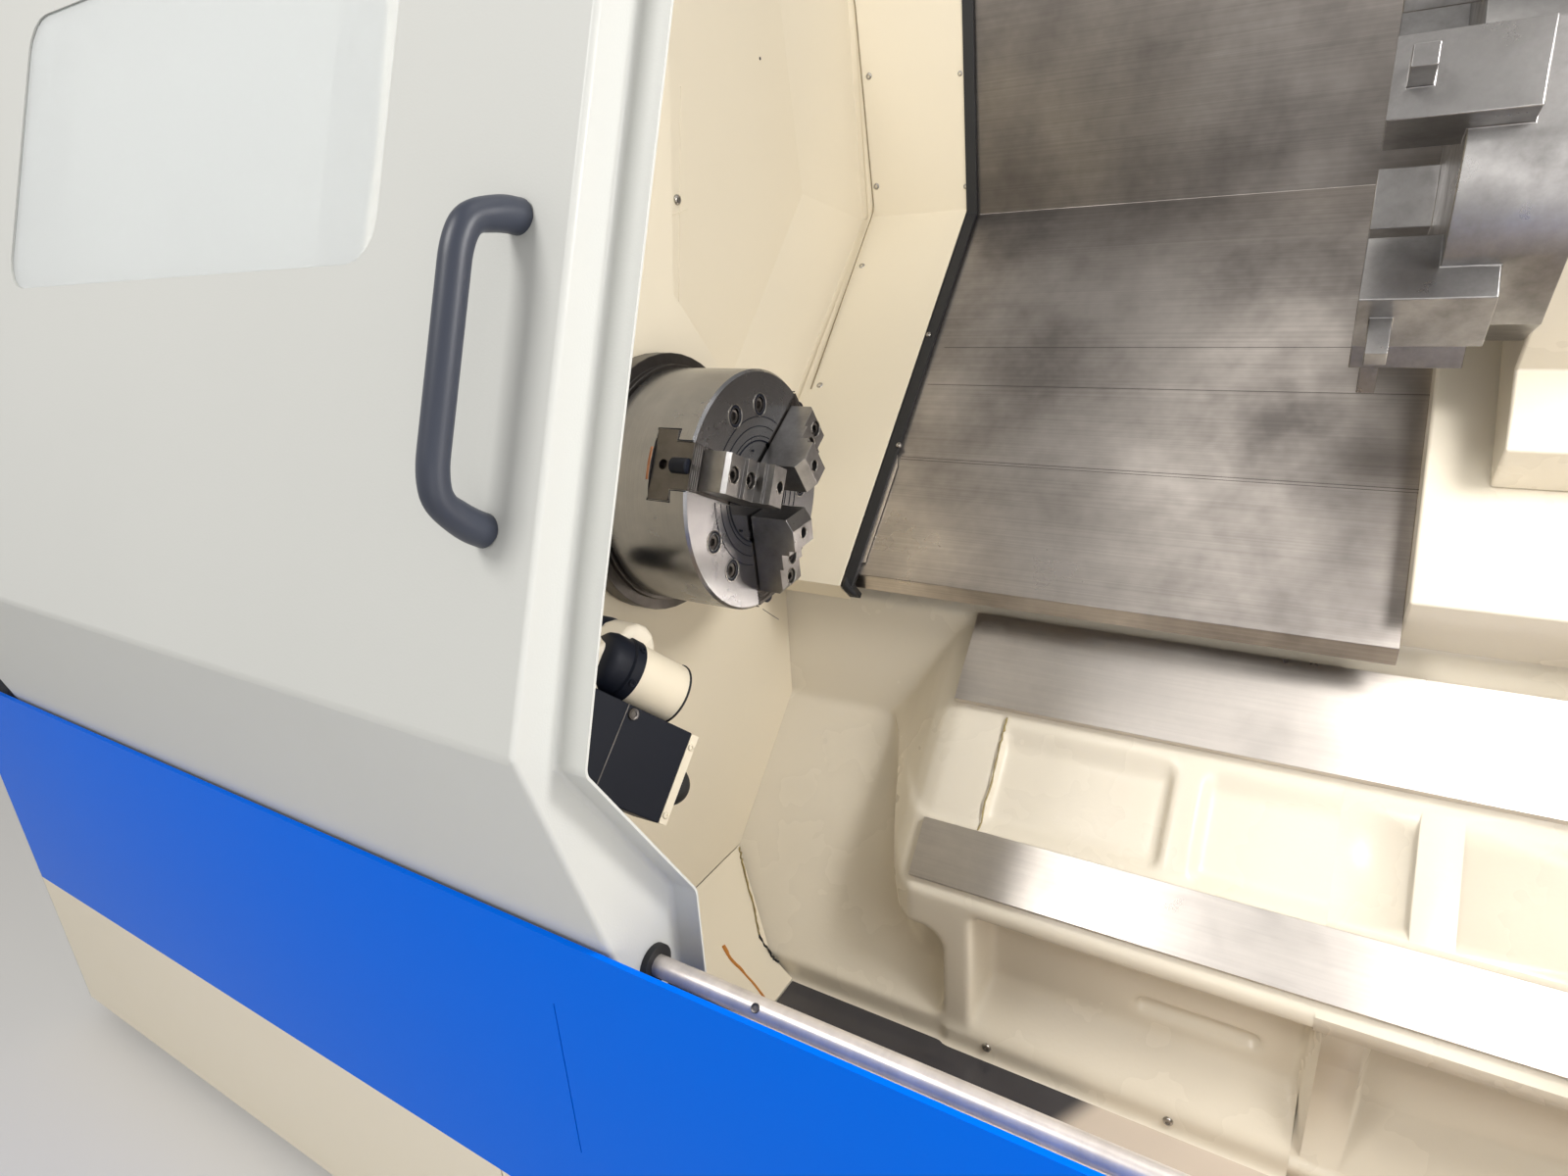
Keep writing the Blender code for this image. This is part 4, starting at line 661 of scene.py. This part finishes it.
# At each bolt's counterbore a bright steel ring at the rim is painted highlight, and two black rings in the gap round
# the screw head are painted shade.
bore_highlights = bmesh.new()
bore_shade = bmesh.new()
for turn in bolt_turns:
    tube(bore_highlights, circle(from_axis(0.0002, turn, BOLT_CIRCLE), 0.0178), 0.0010, 6)
    for reach in (0.0140, 0.0158):
        tube(bore_shade, circle(from_axis(-0.0008, turn, BOLT_CIRCLE), reach), 0.0014, 6)
place_piece("chuck_bore_highlights", bore_highlights, screw_steel, [], chuck)
place_piece("chuck_bore_shade", bore_shade, anodised, [], chuck)
for number, degrees in enumerate(JAW_TURNS, 1):
    turn = radians(degrees)
    outward = from_axis(0.0, turn, 1.0)
    sideways = Vector((0.0, -outward.z, outward.y))
    jaw_body = body_of("top_jaw_%d" % number)
    softened("master_jaw_%d" % number, dark_steel, 0.0004, 2)
    softened("top_jaw_%d" % number, jaw_steel, 0.0009, 2)
    seats = [from_axis(0.0262, turn, 0.141), from_axis(0.0302, turn, 0.105)]
    screws("jaw_screws_%d" % number, seats, 0.0114, 0.0175, 0.0066, jaw_body)
    # Painted highlight: a bright steel ring at the rim of each of the jaw's bores.
    bore_highlights = bmesh.new()
    for rise, reach, bore in ((0.0462, 0.141, 0.0130), (0.0522, 0.105, 0.0130), (0.0772, 0.062, 0.0095)):
        tube(bore_highlights, circle(from_axis(rise, turn, reach), bore), 0.0009, 6)
    place_piece("jaw_bore_highlights_%d" % number, bore_highlights, screw_steel, [], jaw_body)
    teeth = bmesh.new()
    for reach in (0.1655, 0.1705, 0.1755, 0.1805):
        for low, high in ((-0.0300, -0.0040), (0.0040, 0.0300)):
            tube(teeth, [from_axis(0.0010, turn, reach) + sideways * side for side in (low, high)], 0.0013, 6)
    place_piece("jaw_teeth_%d" % number, teeth, dark_steel, [], jaw_body)
    plug_rings = [(0.0100, -0.0330), (0.0118, -0.0310), (0.0118, -0.0040), (0.0100, -0.0020)]
    bead("jaw_plug_%d" % number, [from_axis(x, turn, 0.1842) for reach, x in plug_rings],
         [reach for reach, x in plug_rings], 20, anodised, jaw_body)
    outline = []
    for depth, half in ((0.0, 0.0364), (0.0284, 0.0364), (0.0284, 0.0534), (0.0694, 0.0534)):
        outline.append(from_axis(-depth, turn, sqrt(CHUCK_RADIUS ** 2 - half ** 2) + 0.0001) + sideways * half)
    mirrored = [spot - sideways * (2.0 * sideways.dot(spot)) for spot in reversed(outline)]
    bead("slot_edge_%d" % number, outline + mirrored, 0.0010, 6, anodised, chuck)
    shim_path = [from_axis(-0.0712, turn, sqrt(CHUCK_RADIUS ** 2 - side ** 2) - 0.0008) + sideways * side
                 for side in (-0.024, 0.0, 0.024)]
    bead("slot_shim_%d" % number, shim_path, 0.0024, 8, copper, chuck)

# End wall and inner covers
# Folded and welded sheet, sprayed cream after it was made up. The wall holds the spindle's nose, and the facets
# over it keep chips off the headstock.

softened("end_wall", cream, 0.001)
softened("headstock_cover", cream, 0.0012, 2, 25.0, 12.0)
softened("cover_plate", cream, 0.001, 2, 25.0, 12.0)
softened("wiper_strip", rubber, 0.001)
softened("chute_plate", cream, 0.0008)


def pan_head(radius, height):
    """A low round screw head with a domed top and a small socket."""
    work = bmesh.new()
    steps = 20
    levels = [(1.0, 0.0), (1.0, 0.35), (0.93, 0.70), (0.76, 0.93), (0.50, 1.0), (0.44, 1.0), (0.42, 0.45)]
    rows = []
    for reach, rise in levels:
        rows.append([work.verts.new((radius * reach * cos(2 * pi * step / steps),
                                     radius * reach * sin(2 * pi * step / steps), height * rise))
                     for step in range(steps)])
    join_rings(work, rows)
    return work


def eased(path, reach, count=6):
    """A line of points with each inner corner turned into a short curve."""
    points = [Vector(spot) for spot in path]
    made = [points[0]]
    for before, here, after in zip(points, points[1:], points[2:]):
        first = here + (before - here).normalized() * min(reach, (before - here).length * 0.48)
        last = here + (after - here).normalized() * min(reach, (after - here).length * 0.48)
        for step in range(count + 1):
            share = step / count
            made.append(first * (1 - share) ** 2 + here * 2 * share * (1 - share) + last * share ** 2)
    return made + [points[-1]]


def on_slant(x, along, out):
    """A place on the slanted sheets: along X, up the slope, and how far their plane lies from the spindle's axis."""
    return (x, (along + out) / sqrt(2.0), (along - out) / sqrt(2.0))


LEAN_OUT = (0.0, -0.995, -0.100)
SLANT_OUT = (0.0, -0.7071, 0.7071)
WALL_FACE = -0.3285
UP_THE_COVER = [LEAN_OUT, LEAN_OUT, SLANT_OUT, SLANT_OUT]
plate_spots = [(-0.237, 0.938, 0.716), (-0.235, 0.961, 0.487), (-0.229, 0.860, 0.311), (-0.222, 0.619, 0.070)]
set_piece("plate_screws", plate_spots, UP_THE_COVER, lambda: pan_head(0.0075, 0.005), screw_steel,
          "machine")
set_piece("plate_holes", [(-0.059, 0.959, 0.514), (-0.035, 0.579, 0.031), (WALL_FACE, 0.619, 0.726)],
          [LEAN_OUT, SLANT_OUT, FORWARD], lambda: pan_head(0.0032, 0.0006), rubber, "machine")
gap_path = [(-0.264, 0.901, 0.905), (-0.260, 0.919, 0.867), (-0.245, 0.963, 0.436), (-0.240, 0.608, 0.065)]
bead("plate_gap", eased(gap_path, 0.02), 0.0016, 8, seam_tone, "machine")
seams = bmesh.new()
for start, end, width in (((0.338, 0.648), (0.272, 0.274), 0.0016), ((0.272, 0.274), (0.377, 0.147), 0.0014),
                          ((0.177, 0.353), (0.274, 0.252), 0.0014), ((0.323, 0.440), (0.272, 0.430), 0.0014)):
    tube(seams, [(WALL_FACE, *start), (WALL_FACE, *end)], width, 8)
place_piece("cover_seams", seams, cream, [], "machine")
set_piece("bracket_screw", [(-0.329, 0.295, 0.457)], [FORWARD], lambda: pan_head(0.0095, 0.006), screw_steel,
          "machine")
bare = bmesh.new()
edge_spots = [on_slant(x, along, 0.3968) for x, along in ((0.0045, 0.075), (0.0190, 0.078), (0.0200, 0.300),
                                                          (0.0110, 0.330), (0.0045, 0.330))]
sheet_face = bare.faces.new([bare.verts.new(CHUCK_FACE + Vector(spot)) for spot in edge_spots])
raised = bmesh.ops.extrude_face_region(bare, geom=[sheet_face])["geom"]
bmesh.ops.translate(bare, verts=[item for item in raised if isinstance(item, bmesh.types.BMVert)],
                    vec=Vector(SLANT_OUT) * 0.002)
place_piece("wiper_edge", bare, way_steel, [], "machine")
grime_path = [(-0.006, 0.300, -0.250), (0.000, 0.289, -0.262), (0.008, 0.284, -0.266), (0.018, 0.280, -0.269),
              (0.026, 0.277, -0.272)]
bead("wiper_sealant", grime_path, [0.0060, 0.0090, 0.0078, 0.0060, 0.0030], 10, rubber, "machine")
wiper_spots = [(-0.021, 0.941, 0.693), (-0.014, 0.963, 0.469), (-0.004, 0.718, 0.168), (0.012, 0.519, -0.031)]
set_piece("wiper_screws", wiper_spots, UP_THE_COVER, lambda: pan_head(0.0060, 0.005), screw_steel,
          "machine")
softened("chip_pan", pan_paint, 0.0008)

# Steel way covers and the tailstock's ways
# The covers are stainless sheet, folded at the top and lipped at the foot, and slide with the carriage. The ways
# are ground flat and screwed to the casting from below.

for name in ("way_cover_left", "way_cover_right"):
    softened(name, cover_steel, 0.0012, 2, 25.0, 12.0)
# Painted shade: pairs of thin dark steel beads along the cover stand for the shade at each crease's small step.
crease_shade = bmesh.new()
for along, start in ((0.602, 0.035), (0.506, 0.025), (0.326, 0.020), (0.320, 0.020)):
    for beside in (along, along + 0.0008):
        tube(crease_shade, [on_slant(x, beside, 0.4002) for x in (start, 0.900)], 0.0004, 6)
place_piece("cover_crease_shade", crease_shade, dark_steel, [], body_of("way_cover_left"))
for name in ("tailstock_way_upper", "tailstock_way_lower"):
    softened(name, way_steel, 0.0008)

# Carriage, turret and tailstock
# Cast and painted slides, a ground turret disc with its holders, and the tailstock with its quill and centre.

for name in ("saddle", "cross_slide", "tailstock_body"):
    softened(name, casting_cream, 0.005, 3)
softened("turret_disc", jaw_steel, 0.0015)
for name in ("tailstock_quill", "live_centre"):
    softened(name, way_steel, 0.0008)

# Door
# One bent sheet with a folded flange down its leading edge, a window and a bowed handle. It hangs from a guide
# over the opening and slides on a round rail at its foot.


def broad(face):
    """Whether a face is a sheet's side and not its thin cut edge."""
    return face.calc_area() > 0.008 * max(edge.calc_length() for edge in face.edges)


door = node_mesh("door_shell")
folds = []
for edge in door.edges:
    if len(edge.link_faces) == 2 and all(broad(face) for face in edge.link_faces):
        if edge.calc_face_angle(0.0) > radians(7.0):
            folds.append(edge)
bmesh.ops.bevel(door, geom=folds, offset=0.0065, offset_type="OFFSET", segments=5, profile=0.5, affect="EDGES",
                clamp_overlap=True)
skin = place_piece("door_shell_finished", door, off_white, ["door_shell"], smooth=50.0)
rim = skin.modifiers.new("rim", "BEVEL")
rim.width = 0.0009
rim.segments = 2
rim.limit_method = "ANGLE"
rim.angle_limit = radians(50.0)
even = skin.modifiers.new("even", "WEIGHTED_NORMAL")
even.keep_sharp = True
DOOR_LEAN = 0.374
tilt = atan(DOOR_LEAN)
outward = Vector((0.0, -cos(tilt), sin(tilt)))
upward = Vector((0.0, sin(tilt), cos(tilt)))
low_foot, high_foot = [Vector((0.118, -0.708 + DOOR_LEAN * (z + 0.060), z)) for z in (0.130, 0.399)]
lift = outward * 0.0019
line = [low_foot + lift, low_foot + outward * 0.022 + upward * 0.004, low_foot + outward * 0.058 + upward * 0.020,
        low_foot + outward * 0.067 + upward * 0.046, high_foot + outward * 0.067 - upward * 0.046,
        high_foot + outward * 0.058 - upward * 0.020, high_foot + outward * 0.022 - upward * 0.004, high_foot + lift]
line = eased(line, 0.016)
FOOT_GIRTH = 0.0166
GRIP_THINNER = 0.0024
girths = []
for spot in line:
    lifted = min(1.0, max(0.0, outward.dot(spot - low_foot) / 0.050))
    girths.append(FOOT_GIRTH - GRIP_THINNER * lifted * lifted)
grip = bmesh.new()
tube(grip, line, girths, 28)
place_piece("door_handle_finished", grip, handle_coat, ["door_handle"], smooth=60.0)
for name in ("door_bushing_left", "door_bushing_right"):
    softened(name, rubber, 0.001)
for name in ("door_rail", "door_top_rail"):
    softened(name, rail_steel, 0.0008)
pane = bpy.data.materials.new("window_pane")
pane.use_nodes = True
clear = pane.node_tree.nodes["Principled BSDF"]
clear.inputs["Base Color"].default_value = (0.92, 0.95, 0.95, 1.0)
clear.inputs["Roughness"].default_value = 0.08
clear.inputs["Transmission Weight"].default_value = 0.45
clear.inputs["IOR"].default_value = 1.1
softened("door_window", pane, 0.001)

# Tool setter
# A swinging arm on the end wall: a black disc on a cream elbow, and a black box that reaches down to the chute.

softened("tool_setter_base", anodised, 0.001)
softened("tool_setter_elbow", casting_cream, 0.008, 4)
softened("tool_setter_arm", anodised, 0.0015)
setter = body_of("tool_setter_arm")
ARM_TURN = radians(66.2)
SLEEVE_BELOW = -0.0475
SLEEVE_BEHIND = 0.044
across = Vector((cos(ARM_TURN), sin(ARM_TURN) * sqrt(0.5), -sin(ARM_TURN) * sqrt(0.5)))
downward = Vector((0.0, -sqrt(0.5), -sqrt(0.5)))
inward = across.cross(downward)
arm_corner = Vector((0.019, -0.250, -0.304))


def on_arm(right_of, below, behind=0.0):
    """A place on the black box: along its top edge, down its face and behind it."""
    return arm_corner + across * right_of + downward * below + inward * behind


def along_arm(work, rings, below, behind, steps=36):
    """A turned shape whose axis runs along the box's top edge, told as its radius at each place on the way."""
    tube(work, [on_arm(far, below, behind) for reach, far in rings], [reach for reach, far in rings], steps)


def round_sleeve(right_of, reach, turn):
    """A place on the sleeve's side, and the way it faces there."""
    facing = downward * sin(turn) - inward * cos(turn)
    return on_arm(right_of, SLEEVE_BELOW, SLEEVE_BEHIND) + facing * reach, facing


sleeve = bmesh.new()
along_arm(sleeve, [(0.0420, -0.0280), (0.0450, -0.0295), (0.0462, -0.0330), (0.0462, -0.1160)], SLEEVE_BELOW,
          SLEEVE_BEHIND)
place_piece("setter_sleeve", sleeve, cream, [], setter)
cap = bmesh.new()
along_arm(cap, [(0.0470, -0.1140), (0.0485, -0.1155), (0.0485, -0.1310), (0.0450, -0.1340), (0.0450, -0.1540),
                (0.0420, -0.1640), (0.0340, -0.1710), (0.0180, -0.1745), (0.0030, -0.1750)], SLEEVE_BELOW,
          SLEEVE_BEHIND)
rim_spots, rim_facing = zip(*[round_sleeve(-0.1235, 0.0480, turn) for turn in (0.4, 1.4, 2.5, 3.5, 4.6, 5.6)])
set_down(cap, rim_spots, rim_facing, lambda: socket_screw(0.0052, 0.0034, 0.0026))
place_piece("setter_cap", cap, anodised, [], setter)
bead("setter_gasket", [round_sleeve(-0.0320, 0.0462, 2.0 * pi * step / 40)[0] for step in range(41)], 0.0019, 8,
     rubber, setter)
strip = bmesh.new()
corners = [on_arm(*spot) for spot in ((0.0003, 0.001), (0.0135, 0.001), (0.0135, 0.136), (0.0003, 0.136))]
face = strip.faces.new([strip.verts.new(CHUCK_FACE + spot) for spot in corners])
lifted = bmesh.ops.extrude_face_region(strip, geom=[face])["geom"]
bmesh.ops.translate(strip, verts=[item for item in lifted if isinstance(item, bmesh.types.BMVert)],
                    vec=inward * 0.060)
place_piece("setter_strip", strip, cream, [], setter)
set_piece("setter_strip_screws", [on_arm(0.0068, 0.0200, -0.0002), on_arm(0.0068, 0.1230, -0.0002)], [-inward] * 2,
          lambda: pan_head(0.0050, 0.0025), cream, setter)
set_piece("setter_box_screw", [on_arm(-0.1030, 0.0110, 0.001)], [-inward],
          lambda: socket_screw(0.0088, 0.0035, 0.0050), dark_steel, setter)
bead("setter_box_seam", [on_arm(-0.1150, 0.0), on_arm(-0.1150, 0.137)], 0.0011, 6, dark_steel, setter)
nose = bmesh.new()
along_arm(nose, [(0.0295, 0.0120), (0.0300, 0.0200), (0.0285, 0.0280), (0.0240, 0.0350), (0.0190, 0.0400),
                 (0.0110, 0.0435), (0.0030, 0.0450)], 0.078, 0.034, 32)
place_piece("setter_nose", nose, rubber, [], setter)

# Outer panels and the operator's pendant
# Bent and sprayed sheet round the machine, the electrical cabinet behind it and the pendant on its swivel arm.

softened("front_panel", blue, 0.0012, 3)
for name in ("skirt_panel_left", "skirt_panel_right"):
    softened(name, cream, 0.001)
for name in ("end_cabinet_left", "end_cabinet_right", "front_cover_left", "front_cover_right", "rear_panel",
             "electrical_cabinet", "cabinet_door", "pendant_arm", "pendant_box"):
    softened(name, off_white, 0.001)
softened("emergency_button", stop_red, 0.001)
for number in range(1, 5):
    softened("levelling_foot_%d" % number, dark_steel, 0.001)

# Sealant, a rust streak and small screws
# Old sealant has split along the chute plate's joint and down the web between the ways, and one streak of rust
# has run down the chute plate.


def wavering(path, amount, steps=7, seed=4):
    """A line of points with small uneven steps to the side, as a crack runs."""
    chance = random.Random(seed)
    made = [Vector(path[0])]
    for start, end in zip(path, path[1:]):
        start, end = Vector(start), Vector(end)
        for step in range(1, steps + 1):
            drift = Vector([chance.uniform(-amount, amount) for axis in range(3)])
            made.append(start.lerp(end, step / steps) + drift)
    return made


def uneven(path, thin, swell, beat):
    """A bead's radius at each point of a crack, which swells and thins along it."""
    return [thin + swell * abs(sin(index * beat)) for index in range(len(path))]


split = bmesh.new()
path_down = wavering([(-0.2048, 0.1443, -0.8366), (-0.1861, 0.1215, -0.8528), (-0.1198, 0.0606, -0.9103),
                      (-0.0899, 0.0289, -0.9362)], 0.0016)
tube(split, path_down, uneven(path_down, 0.0014, 0.0010, 1.7), 7)
web_line = wavering([(0.3325, 0.2665, -0.4618), (0.3325, 0.2300, -0.5000), (0.3325, 0.1169, -0.6114)], 0.0018, 9, 11)
tube(split, web_line, uneven(web_line, 0.0012, 0.0009, 1.3), 7)
place_piece("split_sealant", split, sealant, [], "machine")
crack_line = wavering([(-0.0899, 0.0289, -0.9352), (-0.0576, 0.0186, -0.9632), (-0.0420, 0.0180, -0.9760)], 0.0022,
                      8, 7)
bead("open_joint", crack_line, uneven(crack_line, 0.0016, 0.0012, 2.1), 6, rubber, "machine")
streak_line = wavering([(-0.1209, -0.0518, -0.9113), (-0.1012, -0.0593, -0.9284), (-0.0772, -0.0568, -0.9491),
                        (-0.0496, -0.0570, -0.9731), (-0.0125, -0.0620, -1.0040)], 0.0004, 4, 5)
bead("rust_streak", streak_line, [0.0042] * 3 + [0.0034] * 6 + [0.0024] * 8, 8, rust, "machine")
chip_line = eased([(0.0030, -0.0134, -0.1962), (0.0040, 0.0035, -0.2102), (0.0050, 0.0296, -0.2308)], 0.01)
bead("thin_chip", chip_line, 0.0006, 6, dark_steel, chuck)
set_piece("flange_screws", [(0.3894, 0.0190, -0.984), (0.6907, 0.0190, -0.988)], [(0.0, -1.0, 0.0)] * 2,
          lambda: pan_head(0.0080, 0.005), screw_steel, "machine")
set_piece("rail_screw", [(0.3301, -0.5745, -0.3945)], [(0.0, -0.707, 0.707)],
          lambda: socket_screw(0.0052, 0.0016, 0.0030), dark_steel, "machine")
